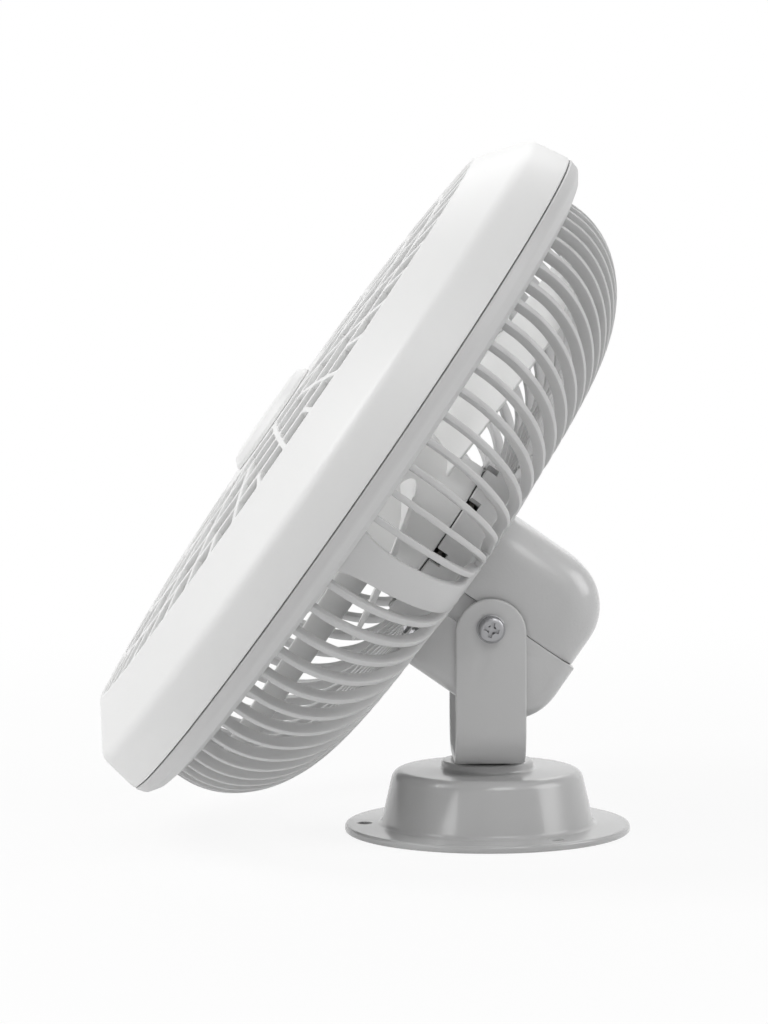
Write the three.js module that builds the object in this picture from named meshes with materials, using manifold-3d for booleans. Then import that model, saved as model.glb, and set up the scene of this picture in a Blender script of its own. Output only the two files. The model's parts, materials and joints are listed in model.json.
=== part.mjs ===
// A tilting table and wall fan: a round caged head in a U-shaped strap on a screw-down base.
// Millimetres, +Z up. The origin is the centre of the base's underside, X runs along the tilt
// axis and the fan blows towards -Y.
import * as THREE from 'three';
import { mergeVertices } from 'three/addons/utils/BufferGeometryUtils.js';
import Module from 'manifold-3d';

const wasm = await Module();
wasm.setup();

// ---- Clearances ----
const seatGap = 0.3;          // between two pieces that rest on each other
const stackGap = 0.1;         // between flat faces in a screwed stack
const pinGap = 0.06;          // radial, shaft to bearing and bearing to housing
const holeGap = 0.3;          // radial, screw to the hole it passes through

// ---- Base ----
const flangeRadius = 43.4;
const flangeThickness = 2.2;
const domeFootRadius = 32.4;
const domeShoulderRadius = 28.6;
const domeHeight = 18.8;
const domeRounding = 2.6;
const baseWall = 2;
const collarRadius = 14;
const collarHeight = 2.8;
const mountHoleRadius = 1.9;
const mountHoleCircle = 37.4;
const mountHoleCount = 3;
const weightThickness = 6;
const weightPostCircle = 20;
const weightPostRadius = 3.4;
const weightScrewRadius = 1.5;

// ---- Swivel screw, through the collar and the strap's web ----
const swivelScrewRadius = 2.5;
const swivelHeadRadius = 4.8;
const swivelHeadHeight = 2.8;
const swivelWasherRadius = 6;
const swivelWasherThickness = 0.8;
const swivelNutWidth = 8;
const swivelNutHeight = 4;

// ---- Strap ----
const strapWidth = 21.1;
const strapThickness = 1.6;
const strapSpan = 46;         // over the outer faces of the two arms
const strapBend = 9;
const tiltHeight = 64;
const earDrop = 1.6;          // the round ear's middle, below the tilt hole

// ---- Tilt screws ----
const tiltScrewRadius = 2;
const tiltHeadRadius = 4;
const tiltHeadHeight = 2.2;
const tiltWasherRadius = 4.3;
const tiltWasherThickness = 0.6;
const tiltNutRadius = 4;
const tiltNutThickness = 3;

// ---- Head: distances forward are measured from the tilt axis along the fan axis ----
const restElevation = 35;
const fanAxisRise = 13.4;
const headRadius = 115;
const seamForward = 60;
const seamGap = 0.5;
const crestRadius = headRadius - 2.1;
const crestForward = 72.7;
const crestRounding = 3.6;
const lipRadius = headRadius - 16.3;
const lipForward = 83.4;
const lipWidth = 1.5;
const guardWall = 2.2;

// ---- Front grille ----
const crownForward = 87.8;
const domePower = 2.6;
const grilleDepth = 2.8;
const grilleRib = 1.8;
const ringShares = [0.85, 0.69, 0.487, 0.253];   // the rings' radii, of the lip's
const spokesPerBand = [48, 24, 24, 12];
const capRadius = 18.5;
const capTopRadius = 15.7;
const capHeight = 2.9;
const capStemRadius = 3;
const capStemLength = 4.6;

// ---- Rear basket ----
const rimUnderForward = 52.4;
const rimShoulderRadius = headRadius - 4.4;
const rimFootRadius = headRadius - 9.6;
const tongueLength = 3.4;      // the rim's tongue inside the guard
const basketRadius = headRadius - 10.5;
const basketTurnForward = 50;  // where the ribs leave the rim and start to curve in
const basketCurveAxial = 32.5;
const basketCurveRadial = 40.5;
const basketBackForward = 14.2;
const ribDepth = 3.6;
const ribThickness = 1.9;
const ribThin = 1.3;           // the ribs' thickness where they reach the plate
const ribsAbove = 39;          // between the two broad arms, over the top
const ribsBelow = 33;
const armAngle = -7;           // an arm's middle, from level
const armClear = 6.2;          // degrees from an arm's middle to the next rib
const armWidth = 9.6;
const armRimWidth = 13.6;      // where an arm spreads into the rim
const armDepth = 3.2;
const plateRadius = 37;
const plateThickness = 2.6;
const seatForward = 24.4;      // the motor's seat, on three posts inside a cup
const cupRadius = 27;
const cupWall = 2.5;
const cupForward = 26.7;
const cupSlotCount = 9;
const cupSlotWidth = 6;
const cupSlotDepth = 3.2;

// ---- Motor: an outside rotor on a tube that holds two ball bearings ----
const shaftRadius = 2;
const bearingRadius = 5;
const bearingWidth = 4;
const bearingTubeWall = 1.4;
const bearingTubeLength = 15.4;
const motorBaseThickness = 1.6;
const motorScrewCircle = 20.5;
const motorScrewRadius = 1.5;
const motorScrewCount = 3;
const poleCount = 9;
const poleNeck = 3.2;
const statorYokeRadius = 10;
const statorRadius = 19;
const statorShoe = 2.4;
const statorHeight = 8;
const windingHeight = 2.4;
const airGap = 0.6;
const magnetThickness = 1.6;
const rotorWall = 1;
const rotorHeight = 15;
const rotorBushRadius = 4;
const rotorBushHeight = 3.2;

// ---- Impeller ----
const hubRadius = 24;
const hubWall = 1.3;
const hubRearForward = 27.4;
const hubFrontForward = 56;
const bladeCount = 5;
const bladeClearance = 7.9;    // to the basket's ribs
const bladeTipRadius = basketRadius - ribDepth - bladeClearance;
const bladeCamber = 2;
const bladeThickness = 1.7;
const bladeRearForward = 36.4;
const bladeFrontForward = 46.7;
const bladeRootSpan = 46;      // degrees round the axis, at the hub
const bladeTipSpan = 27;
const bladeSweep = -2;
const bladePhase = -6;
const bladeNutRadius = 8;
const bladeNutHeight = 8;

// ---- Rear housing, two shells that part on a level plane ----
const housingWidth = 41.2;
const housingTop = 30.9;
const housingBottom = -22.3;
const housingRear = -27.4;
const housingCorner = 17;
const housingFillet = 6.4;
const lowerFillet = 3.6;
const housingWall = 2;
const partingHeight = 4.2;
const lowerStep = 0.6;         // the lower shell stands this much proud of the upper
const recessHeight = 8.4;
const recessDepth = 1.6;
const recessReach = 6;         // behind the tilt axis
const tiltBossRadius = 4;
const shellPostRadius = 3.2;
const shellPostX = 12;
const shellPostForward = -9;
const shellScrewRadius = 1.4;
const plateScrewRadius = 1.5;
const plateScrewX = 14.5;
const plateScrewUpper = 22;
const plateScrewLower = -15.6;
const plateBossRadius = 3.4;
const plateBossLength = 9;

// ---- Controls and board ----
const switchWidth = 15;
const switchHeight = 10.2;
const switchBezel = 0.9;
const switchDepth = 12;
const switchRise = 10.3;
const rockerLength = 10.4;
const rockerWidth = 6.4;
const rockerProud = 1.3;
const rockerPivotDepth = 1.5;
const rockerDrumStart = 20;     // degrees, where the round drum leaves the rocker's sides
const rockerGap = 0.7;
const inletRadius = 3.8;
const inletFlange = 4.5;
const inletFlangeThickness = 0.8;
const inletDepth = 11;
const inletRise = -0.9;
const inletBoreRadius = 2.8;
const inletPinRadius = 0.9;
const boardWidth = 21;
const boardThickness = 1.6;
const boardForward = 4.6;

// ---- Facets round a full turn ----
const rimFacets = 64;
const guardFacets = 48;
const baseFacets = 36;
const hubFacets = 28;
const motorFacets = 18;
const pinFacets = 12;
const screwFacets = 8;

const radians = THREE.MathUtils.degToRad;

// ---- Materials ----
function finish(color, roughness, metalness = 0) {
  return new THREE.MeshStandardMaterial({ color, roughness, metalness });
}
const whitePlastic = finish(0xf0f0ef, 0.45);
const cagePlastic = finish(0xdcdcdc, 0.5);
const greyPaint = finish(0xc4c5c6, 0.4);
const greyPlastic = finish(0xc9cacb, 0.5);
const brightSteel = finish(0xb9bcbe, 0.35, 0.9);
const darkSteel = finish(0x3a3835, 0.5, 0.7);
const copper = finish(0xa8623a, 0.4, 0.8);
const blackPlastic = finish(0x26272a, 0.5);
const boardGreen = finish(0x2f6b4a, 0.6);

// ---- Solids ----

// Joins a geometry's shared corners and turns it into a solid with its faces pointing out.
function toSolid(geometry) {
  const bare = geometry.index ? geometry.toNonIndexed() : geometry.clone();
  bare.deleteAttribute('normal');
  bare.deleteAttribute('uv');
  const merged = mergeVertices(bare, 1e-4);
  const positions = merged.attributes.position;
  const corner = (i) => new THREE.Vector3().fromBufferAttribute(positions, i);
  const triangles = [];
  let volume = 0;
  for (let i = 0; i < merged.index.count; i += 3) {
    const [a, b, c] = [0, 1, 2].map((step) => merged.index.getX(i + step));
    if (a === b || b === c || c === a) continue;
    triangles.push([a, b, c]);
    volume += corner(a).dot(corner(b).cross(corner(c)));
  }
  const outward = volume > 0 ? triangles : triangles.map(([a, b, c]) => [a, c, b]);
  return new wasm.Manifold(new wasm.Mesh({
    numProp: 3,
    vertProperties: new Float32Array(positions.array),
    triVerts: new Uint32Array(outward.flat()),
  }));
}

function toMesh(name, solid, material) {
  const { vertProperties, triVerts } = solid.getMesh();
  const geometry = new THREE.BufferGeometry();
  geometry.setAttribute('position', new THREE.BufferAttribute(new Float32Array(vertProperties), 3));
  geometry.setIndex(new THREE.BufferAttribute(new Uint32Array(triVerts), 1));
  geometry.computeVertexNormals();
  const mesh = new THREE.Mesh(geometry, material);
  mesh.name = name;
  return mesh;
}

const join = (first, ...others) => others.reduce((whole, other) => whole.add(other), first);
const cut = (body, ...tools) => tools.reduce((whole, tool) => whole.subtract(tool), body);

// Turns a closed section of [radius, height] points about Z.
function revolved(section, facets, phase = 0) {
  const points = [...section, section[0]].map(([r, z]) => new THREE.Vector2(r, z));
  return toSolid(new THREE.LatheGeometry(points, facets, phase, 2 * Math.PI).rotateX(Math.PI / 2));
}

// A hole's radius to its corners, so that its flats clear the round thing inside it.
const aroundFlats = (radius, facets) => radius / Math.cos(Math.PI / facets);

// A plain upright rod from low to high at (x, y).
function rodGeometry(radius, low, high, facets = screwFacets) {
  const geometry = new THREE.CylinderGeometry(radius, radius, high - low, facets);
  return geometry.rotateX(Math.PI / 2).translate(0, 0, (low + high) / 2);
}
function rod(radius, low, high, x = 0, y = 0, facets = screwFacets) {
  return toSolid(rodGeometry(radius, low, high, facets).translate(x, y, 0));
}

// The same rod laid along X, from one x to another.
function crossRod(radius, from, to, facets = screwFacets) {
  return toSolid(rodGeometry(radius, from, to, facets).rotateY(Math.PI / 2));
}

function block([x0, x1], [y0, y1], [z0, z1]) {
  const geometry = new THREE.BoxGeometry(x1 - x0, y1 - y0, z1 - z0);
  return toSolid(geometry.translate((x0 + x1) / 2, (y0 + y1) / 2, (z0 + z1) / 2));
}

// Points on an arc about (x, y), angles in degrees.
function arc(x, y, radiusX, radiusY, from, to, steps) {
  return Array.from({ length: steps + 1 }, (_, i) => {
    const angle = radians(from + (to - from) * i / steps);
    return [x + radiusX * Math.cos(angle), y + radiusY * Math.sin(angle)];
  });
}

const shapeOf = (points) => new THREE.Shape(points.map(([x, y]) => new THREE.Vector2(x, y)));

// Places round a circle, as [x, y, angle in degrees].
function places(count, radius, phase = 0) {
  return Array.from({ length: count }, (_, i) => {
    const angle = phase + 360 * i / count;
    return [radius * Math.cos(radians(angle)), radius * Math.sin(radians(angle)), angle];
  });
}

// A screw standing on its tip: a shank from tip to seat and a rounded head above the seat.
function screwSection(shank, head, tip, seat, headHeight) {
  return [
    [0, tip], [shank, tip], [shank, seat], [head, seat],
    [head, seat + headHeight * 0.55], [head * 0.72, seat + headHeight], [0, seat + headHeight],
  ];
}

// ================= Base =================
const collarTop = domeHeight + collarHeight;
const swivelHoleRadius = aroundFlats(swivelScrewRadius + holeGap, baseFacets);
const ceiling = domeHeight - baseWall;
const weightRadius = domeShoulderRadius - baseWall - seatGap;
const weightPosts = places(mountHoleCount, weightPostCircle, -90);

function baseShell() {
  const shell = revolved([
    [swivelHoleRadius, collarTop], [collarRadius - 0.6, collarTop], [collarRadius, collarTop - 0.6],
    [collarRadius, domeHeight],
    ...arc(domeShoulderRadius - domeRounding, domeHeight - domeRounding,
      domeRounding, domeRounding, 90, 10, 2),
    [domeFootRadius, flangeThickness + 1.2], [domeFootRadius + 1.4, flangeThickness],
    [flangeRadius - 0.7, flangeThickness], [flangeRadius, flangeThickness - 0.7],
    [flangeRadius, 0], [domeFootRadius - baseWall, 0],
    [domeShoulderRadius - baseWall, ceiling], [swivelHoleRadius, ceiling],
  ], baseFacets);
  const posts = weightPosts.map(([x, y]) =>
    rod(weightPostRadius, weightThickness + stackGap, ceiling + baseWall / 2, x, y));
  const bores = weightPosts.map(([x, y]) =>
    rod(weightScrewRadius + stackGap, 0, ceiling - 1, x, y));
  const mountHoles = places(mountHoleCount, mountHoleCircle, -90).map(([x, y]) =>
    rod(mountHoleRadius, -1, flangeThickness + 1, x, y, 14));
  return cut(join(shell, ...posts), ...bores, ...mountHoles);
}

const weightHeadRadius = 2 * weightScrewRadius;
const weightHeadHeight = 1.8;
const weightHeadSeat = 2.4;    // the counterbore's floor, above the underside

function baseWeight() {
  const disc = revolved([
    [0, 0], [weightRadius - 0.6, 0], [weightRadius, 0.6],
    [weightRadius, weightThickness], [0, weightThickness],
  ], baseFacets);
  const holes = weightPosts.flatMap(([x, y]) => [
    rod(weightScrewRadius + holeGap, -1, weightThickness + 1, x, y),
    rod(weightHeadRadius + holeGap, -1, weightHeadSeat, x, y),
  ]);
  return cut(disc, ...holes);
}

function weightScrew([x, y]) {
  const seat = -weightHeadSeat + stackGap;
  const section = screwSection(
    weightScrewRadius, weightHeadRadius, -(ceiling - 2), seat, weightHeadHeight);
  return revolved(section.map(([r, z]) => [r, -z]), screwFacets).translate([x, y, 0]);
}

const webTop = collarTop + seatGap + strapThickness;
const swivelWasherLow = webTop + stackGap;
const swivelSeat = swivelWasherLow + swivelWasherThickness + stackGap;
const swivelNutTop = ceiling - stackGap;
const swivelTip = swivelNutTop - swivelNutHeight - 1;

const swivelScrew = () => revolved(screwSection(
  swivelScrewRadius, swivelHeadRadius, swivelTip, swivelSeat, swivelHeadHeight), pinFacets);

const ring = (inner, outer, low, high, facets) => revolved([
  [aroundFlats(inner, facets), low], [outer, low], [outer, high], [aroundFlats(inner, facets), high],
], facets);

const swivelWasher = () => ring(swivelScrewRadius + stackGap, swivelWasherRadius,
  swivelWasherLow, swivelWasherLow + swivelWasherThickness, pinFacets);

// A six-sided nut with a round bore, low to high along Z.
function hexNut(width, bore, low, high) {
  const body = rod(width / Math.sqrt(3), low, high, 0, 0, 6);
  return cut(body, rod(aroundFlats(bore, pinFacets), low - 1, high + 1, 0, 0, pinFacets));
}
const swivelNut = () => hexNut(swivelNutWidth, swivelScrewRadius + pinGap,
  swivelNutTop - swivelNutHeight, swivelNutTop);

// ================= Strap =================
function strap() {
  const low = collarTop + seatGap;
  const outer = strapSpan / 2;
  const inner = outer - strapThickness;
  const earHeight = tiltHeight - earDrop;
  const top = earHeight + strapWidth / 2;
  const innerBend = strapBend - strapThickness;
  const right = [
    ...arc(outer - strapBend, low + strapBend, strapBend, strapBend, -90, 0, 5),
    [outer, top], [inner, top],
    ...arc(outer - strapBend, low + strapBend, innerBend, innerBend, 0, -90, 4),
  ];
  const left = right.map(([x, z]) => [-x, z]).reverse();
  const outline = shapeOf([...right, ...left]);
  const bent = toSolid(new THREE.ExtrudeGeometry(outline, { depth: strapWidth, bevelEnabled: false })
    .rotateX(Math.PI / 2).translate(0, strapWidth / 2, 0));
  const face = shapeOf([
    [-strapWidth / 2, 0], [strapWidth / 2, 0],
    ...arc(0, earHeight, strapWidth / 2, strapWidth / 2, 0, 180, 14),
  ]);
  const rounded = toSolid(new THREE.ExtrudeGeometry(face, { depth: strapSpan, bevelEnabled: false })
    .rotateX(Math.PI / 2).rotateZ(Math.PI / 2).translate(-outer, 0, 0));
  const tiltHole = crossRod(aroundFlats(tiltScrewRadius + holeGap, pinFacets), -strapSpan, strapSpan, pinFacets)
    .translate([0, 0, tiltHeight]);
  const swivelHole = rod(aroundFlats(swivelScrewRadius + holeGap, pinFacets), 0, webTop + 1, 0, 0, pinFacets);
  return cut(bent.intersect(rounded), tiltHole, swivelHole);
}

// ================= Tilt hardware, along X at the head's own origin =================
const armFace = strapSpan / 2;
const armInside = armFace - strapThickness;
const sideFace = housingWidth / 2;
const recessFloor = sideFace - recessDepth;
const nutOuter = recessFloor - housingWall - stackGap;
const tiltWasherOut = armFace + stackGap + tiltWasherThickness;

// One side's piece, drawn along +X and mirrored by half a turn for the other side.
const toSide = (solid, side) => (side > 0 ? solid : solid.rotate([0, 180, 0]));

function tiltScrew(side) {
  const section = screwSection(tiltScrewRadius, tiltHeadRadius,
    nutOuter - tiltNutThickness - 1, tiltWasherOut + stackGap, tiltHeadHeight);
  return toSide(revolved(section, pinFacets).rotate([0, 90, 0]), side);
}

function tiltWasher(side) {
  const flat = ring(tiltScrewRadius + stackGap, tiltWasherRadius,
    armFace + stackGap, tiltWasherOut, pinFacets);
  return toSide(flat.rotate([0, 90, 0]), side);
}

function tiltNut(side) {
  const nut = hexNut(tiltNutRadius * Math.sqrt(3), tiltScrewRadius + pinGap,
    nutOuter - tiltNutThickness, nutOuter);
  return toSide(nut.rotate([0, 90, 0]), side);
}

// ================= Front guard and its cap, about the fan axis =================
const guardHeight = (r) =>
  lipForward + (crownForward - lipForward) * (1 - Math.min(1, r / lipRadius) ** domePower);

// A cell of the grille: the opening between two rings and two neighbouring spokes.
function grilleCell(inner, outer, angle, pitch) {
  const half = grilleRib / 2;
  const corner = (radius, side) => {
    const offset = radians(angle + side * pitch / 2) - side * Math.asin(half / radius);
    return [radius * Math.cos(offset), radius * Math.sin(offset)];
  };
  const [low, high] = [inner + half, outer - half];
  return [corner(low, -1), corner(high, -1), corner(high, 1), corner(low, 1)];
}

// A flat disc less its cells, pulled up to its depth and then onto the dome.
function grille() {
  const contour = (count, radius) => places(count, radius).map(([x, y]) => [x, y]);
  const radii = [lipRadius - lipWidth + grilleRib / 2, ...ringShares.map((share) => share * lipRadius)];
  const cells = spokesPerBand.flatMap((spokes, band) => {
    const pitch = 360 / spokes;
    return Array.from({ length: spokes }, (_, i) =>
      grilleCell(radii[band + 1], radii[band], (i + 0.5) * pitch, pitch));
  });
  const flat = new wasm.CrossSection([
    contour(guardFacets, lipRadius - lipWidth / 2), ...cells, contour(12, capStemRadius + holeGap),
  ], 'EvenOdd');
  return flat.extrude(grilleDepth).warp((corner) => {
    corner[2] += guardHeight(Math.hypot(corner[0], corner[1])) - grilleDepth;
  });
}

// The inner face of the guard's side band, at a distance forward of the tilt axis.
function guardInside(forward) {
  const taper = (headRadius - crestRadius) / (crestForward - seamForward);
  return headRadius - guardWall - taper * (forward - seamForward);
}

// The crest's rounding between the side band and the cone, which meet at (radius, forward).
function crestArc() {
  const degrees = THREE.MathUtils.radToDeg;
  const bandLean = degrees(Math.atan2(headRadius - crestRadius, crestForward - seamForward));
  const coneLean = degrees(Math.atan2(crestRadius - lipRadius, lipForward - crestForward));
  const inward = crestRounding / Math.cos(radians(coneLean - bandLean) / 2);
  const middle = radians(bandLean + coneLean) / 2;
  return arc(crestRadius - inward * Math.cos(middle), crestForward - inward * Math.sin(middle),
    crestRounding, crestRounding, bandLean, coneLean, 2);
}

function frontGuard() {
  const turn = crestForward - guardWall;
  const bezel = revolved([
    [headRadius, seamForward], ...crestArc(),
    [lipRadius + 0.8, lipForward - 0.7], [lipRadius - 0.3, lipForward],
    [lipRadius - lipWidth, lipForward], [lipRadius - lipWidth, lipForward - grilleDepth - 0.4],
    [guardInside(turn), turn], [guardInside(seamForward), seamForward],
  ], guardFacets, Math.PI / 2);
  return join(bezel, grille());
}

const capSeat = crownForward + seatGap;

const centreCap = () => revolved([
  [0, capSeat - capStemLength], [capStemRadius, capSeat - capStemLength], [capStemRadius, capSeat],
  [capRadius, capSeat], [capRadius - 0.5, capSeat + capHeight * 0.45],
  [capTopRadius + 1, capSeat + capHeight * 0.85], [capTopRadius - 1, capSeat + capHeight],
  [0, capSeat + capHeight],
], hubFacets);

// ================= Rear basket =================
const basketCentreRadius = basketRadius - basketCurveRadial;
const plateForward = basketBackForward + plateThickness;
const curveBack = basketTurnForward - basketCurveAxial;

// The side outline of a rib or arm, [radius, forward], between the cage's outer line and a
// line that lies the given depth inside it.
function ribOutline(depth) {
  const turn = (inset, steps) => arc(basketCentreRadius, basketTurnForward,
    basketCurveRadial - inset, -(basketCurveAxial - inset), 0, 90, steps);
  const end = plateRadius - 1;
  const start = rimUnderForward + 1.6;
  return shapeOf([
    [basketRadius, start], ...turn(0, 4),
    [end, basketBackForward + 0.2], [end, plateForward - 0.5],
    ...turn(depth, 3).reverse(), [basketRadius - depth, start],
  ]);
}

// Gives a rib's outline its thickness, which widthAt tells for a radius and a distance forward.
function ribAt(angle, depth, widthAt) {
  const geometry = new THREE.ExtrudeGeometry(ribOutline(depth), { depth: 1, bevelEnabled: false })
    .rotateX(Math.PI / 2).translate(0, 0.5, 0);
  const positions = geometry.attributes.position;
  for (let i = 0; i < positions.count; i += 1) {
    positions.setY(i, positions.getY(i) * widthAt(positions.getX(i), positions.getZ(i)));
  }
  return toSolid(geometry.rotateZ(radians(angle)));
}

// A rib thins evenly from the rim to the plate; an arm spreads only where it leaves the rim.
function ribWidth(radius) {
  const share = (radius - plateRadius) / (basketRadius - plateRadius);
  return ribThin + (ribThickness - ribThin) * share;
}
const armWidthAt = (radius, forward) => (forward < basketTurnForward - 1 ? armWidth : armRimWidth);

// The ribs' angles from one arm round to the other, evenly spaced.
function ribAngles(count, from, to) {
  return Array.from({ length: count }, (_, i) => from + (to - from) * i / (count - 1));
}

function basketRim() {
  const shoulder = seamForward - seamGap;
  const tongueTop = seamForward + tongueLength;
  const tongue = guardInside(tongueTop) - seamGap;
  return revolved([
    [headRadius, shoulder], [headRadius - 1.3, shoulder - 3],
    [rimShoulderRadius, rimUnderForward + 1.8], [rimFootRadius, rimUnderForward],
    [basketRadius - ribDepth - 0.6, rimUnderForward],
    [basketRadius - ribDepth - 0.6, rimUnderForward + 2.2],
    [tongue - 1.8, tongueTop], [tongue, tongueTop], [tongue, shoulder],
  ], rimFacets);
}

// The plate and, round the motor's foot, a cup with open slots in its front edge.
function basketPlate() {
  const disc = rod(plateRadius, basketBackForward, plateForward, 0, 0, rimFacets / 2);
  const cup = ring(cupRadius - cupWall, cupRadius, plateForward - 0.5, cupForward, 2 * motorFacets);
  const half = cupSlotWidth / 2;
  const slots = places(cupSlotCount, 1).map(([, , angle]) =>
    block([cupRadius - cupWall - 1, cupRadius + 1], [-half, half], [cupForward - cupSlotDepth, cupForward + 1])
      .rotate([0, 0, angle - 90 / cupSlotCount]));
  return join(disc, cut(cup, ...slots));
}

const motorScrewPlaces = places(motorScrewCount, motorScrewCircle, 90);
const plateScrewPlaces = [1, -1].flatMap((side) =>
  [plateScrewUpper, plateScrewLower].map((rise) => [side * plateScrewX, rise - fanAxisRise]));
const motorScrewTip = plateForward + 2;

function rearBasket() {
  const ribs = [
    ...ribAngles(ribsAbove, armAngle + armClear, 180 - armAngle - armClear),
    ...ribAngles(ribsBelow, armAngle - armClear, armClear - armAngle - 180),
  ].map((angle) => ribAt(angle, ribDepth, ribWidth));
  const arms = [armAngle, 180 - armAngle].map((angle) => ribAt(angle, armDepth, armWidthAt));
  const posts = motorScrewPlaces.map(([x, y]) =>
    rod(2.8, plateForward - 0.5, seatForward, x, y));
  const body = join(basketRim(), basketPlate(), ...ribs, ...arms, ...posts);
  const bores = [
    ...motorScrewPlaces.map(([x, y]) =>
      rod(motorScrewRadius + stackGap, motorScrewTip - 0.5, seatForward + 1, x, y)),
    ...plateScrewPlaces.map(([x, y]) =>
      rod(plateScrewRadius + holeGap, basketBackForward - 1, plateForward + 1, x, y)),
  ];
  return cut(body, ...bores);
}

// ================= Motor =================
const motorBaseLow = seatForward + seatGap;
const motorBaseTop = motorBaseLow + motorBaseThickness;
const tubeInner = bearingRadius + pinGap;
const tubeOuter = aroundFlats(tubeInner, motorFacets) + bearingTubeWall;
const tubeTop = motorBaseTop + bearingTubeLength;

function motorBase() {
  const bore = aroundFlats(tubeInner, motorFacets);
  const edge = cupRadius - cupWall - seatGap;
  const plate = revolved([
    [bore, motorBaseLow], [edge, motorBaseLow], [edge, motorBaseTop],
    [tubeOuter, motorBaseTop], [tubeOuter, tubeTop], [bore, tubeTop],
  ], motorFacets);
  return cut(plate, ...motorScrewPlaces.map(([x, y]) =>
    rod(motorScrewRadius + holeGap, motorBaseLow - 1, motorBaseTop + 1, x, y)));
}

function motorScrew([x, y]) {
  const seat = motorBaseTop + stackGap;
  return revolved(screwSection(motorScrewRadius, 2.2, motorScrewTip, seat, 1), screwFacets)
    .translate([x, y, 0]);
}

const bearing = (low) => ring(shaftRadius + pinGap, bearingRadius, low, low + bearingWidth, pinFacets);
const rearBearingLow = motorBaseLow + 0.4;
const frontBearingLow = tubeTop - bearingWidth - 0.4;

const statorLow = motorBaseTop + windingHeight + 1.2;
const statorInner = tubeOuter + stackGap;

// The laminated core's outline, grown by margin for the space that the windings leave round it.
function statorOutline(margin) {
  const neck = poleNeck / 2 + margin;
  const shoeHalf = 180 / poleCount * 0.84;
  const shoeInner = statorRadius - statorShoe - margin;
  const points = places(poleCount, 1).flatMap(([, , angle]) => {
    const at = (radius, offset) => {
      const turned = radians(angle) + offset;
      return [radius * Math.cos(turned), radius * Math.sin(turned)];
    };
    const shoe = radians(shoeHalf);
    return [
      at(statorYokeRadius + margin, -Math.asin(neck / statorYokeRadius)),
      at(shoeInner, -Math.asin(neck / shoeInner)), at(shoeInner, -shoe), at(statorRadius, -shoe),
      at(statorRadius, 0), at(statorRadius, shoe), at(shoeInner, shoe),
      at(shoeInner, Math.asin(neck / shoeInner)),
      at(statorYokeRadius + margin, Math.asin(neck / statorYokeRadius)),
    ];
  });
  return shapeOf(points);
}

function statorCore() {
  const outline = statorOutline(0);
  outline.holes.push(new THREE.Path(places(motorFacets, aroundFlats(statorInner, motorFacets))
    .map(([x, y]) => new THREE.Vector2(x, y))));
  return toSolid(new THREE.ExtrudeGeometry(
    outline, { depth: statorHeight, bevelEnabled: false }).translate(0, 0, statorLow));
}

function statorWindings() {
  const margin = stackGap * 2;
  const coils = ring(statorYokeRadius + margin + 0.4, statorRadius - statorShoe - margin - 0.2,
    statorLow - windingHeight, statorLow + statorHeight + windingHeight, motorFacets);
  const core = toSolid(new THREE.ExtrudeGeometry(
    statorOutline(margin), { depth: statorHeight + 2 * margin, bevelEnabled: false })
    .translate(0, 0, statorLow - margin));
  return cut(coils, core);
}

const magnetInner = statorRadius + airGap;
const magnetOuter = aroundFlats(magnetInner, motorFacets) + magnetThickness;
const canInner = magnetOuter + stackGap;
const canOuter = aroundFlats(canInner, motorFacets) + rotorWall;
const canLow = motorBaseTop + 2.4;
const canTop = canLow + rotorHeight;
const bushTop = canTop + rotorBushHeight;
const boreOnShaft = aroundFlats(shaftRadius + pinGap, motorFacets);

const magnetRing = () => ring(magnetInner, magnetOuter,
  statorLow - 0.6, statorLow + statorHeight + 0.6, motorFacets);

const rotorCan = () => revolved([
  [aroundFlats(canInner, motorFacets), canLow], [canOuter, canLow], [canOuter, canTop],
  [rotorBushRadius, canTop], [rotorBushRadius, bushTop], [boreOnShaft, bushTop],
  [boreOnShaft, canTop - rotorWall], [aroundFlats(canInner, motorFacets), canTop - rotorWall],
], motorFacets);

const shaftLow = rearBearingLow - 3;
const shaftTop = hubFrontForward + seatGap + bladeNutHeight - 2;
const motorShaft = () => rod(shaftRadius, shaftLow, shaftTop, 0, 0, 12);

// ================= Impeller =================
const hubCavity = aroundFlats(canOuter + stackGap, hubFacets);
const hubBossLow = bushTop + seatGap;

function hub() {
  const bore = aroundFlats(shaftRadius + pinGap, hubFacets);
  const front = hubFrontForward;
  return revolved([
    [hubCavity, hubRearForward], [hubRadius, hubRearForward], [hubRadius, front - 6],
    [hubRadius - 1.6, front - 2.6], [hubRadius - 5.4, front - 0.5], [bladeNutRadius + 1, front],
    [bore, front], [bore, hubBossLow], [5, hubBossLow], [5, front - 2.2],
    [hubRadius - 6.4, front - 2.7], [hubRadius - hubWall - 1.8, front - 4],
    [hubCavity, front - 7],
  ], hubFacets);
}

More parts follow.
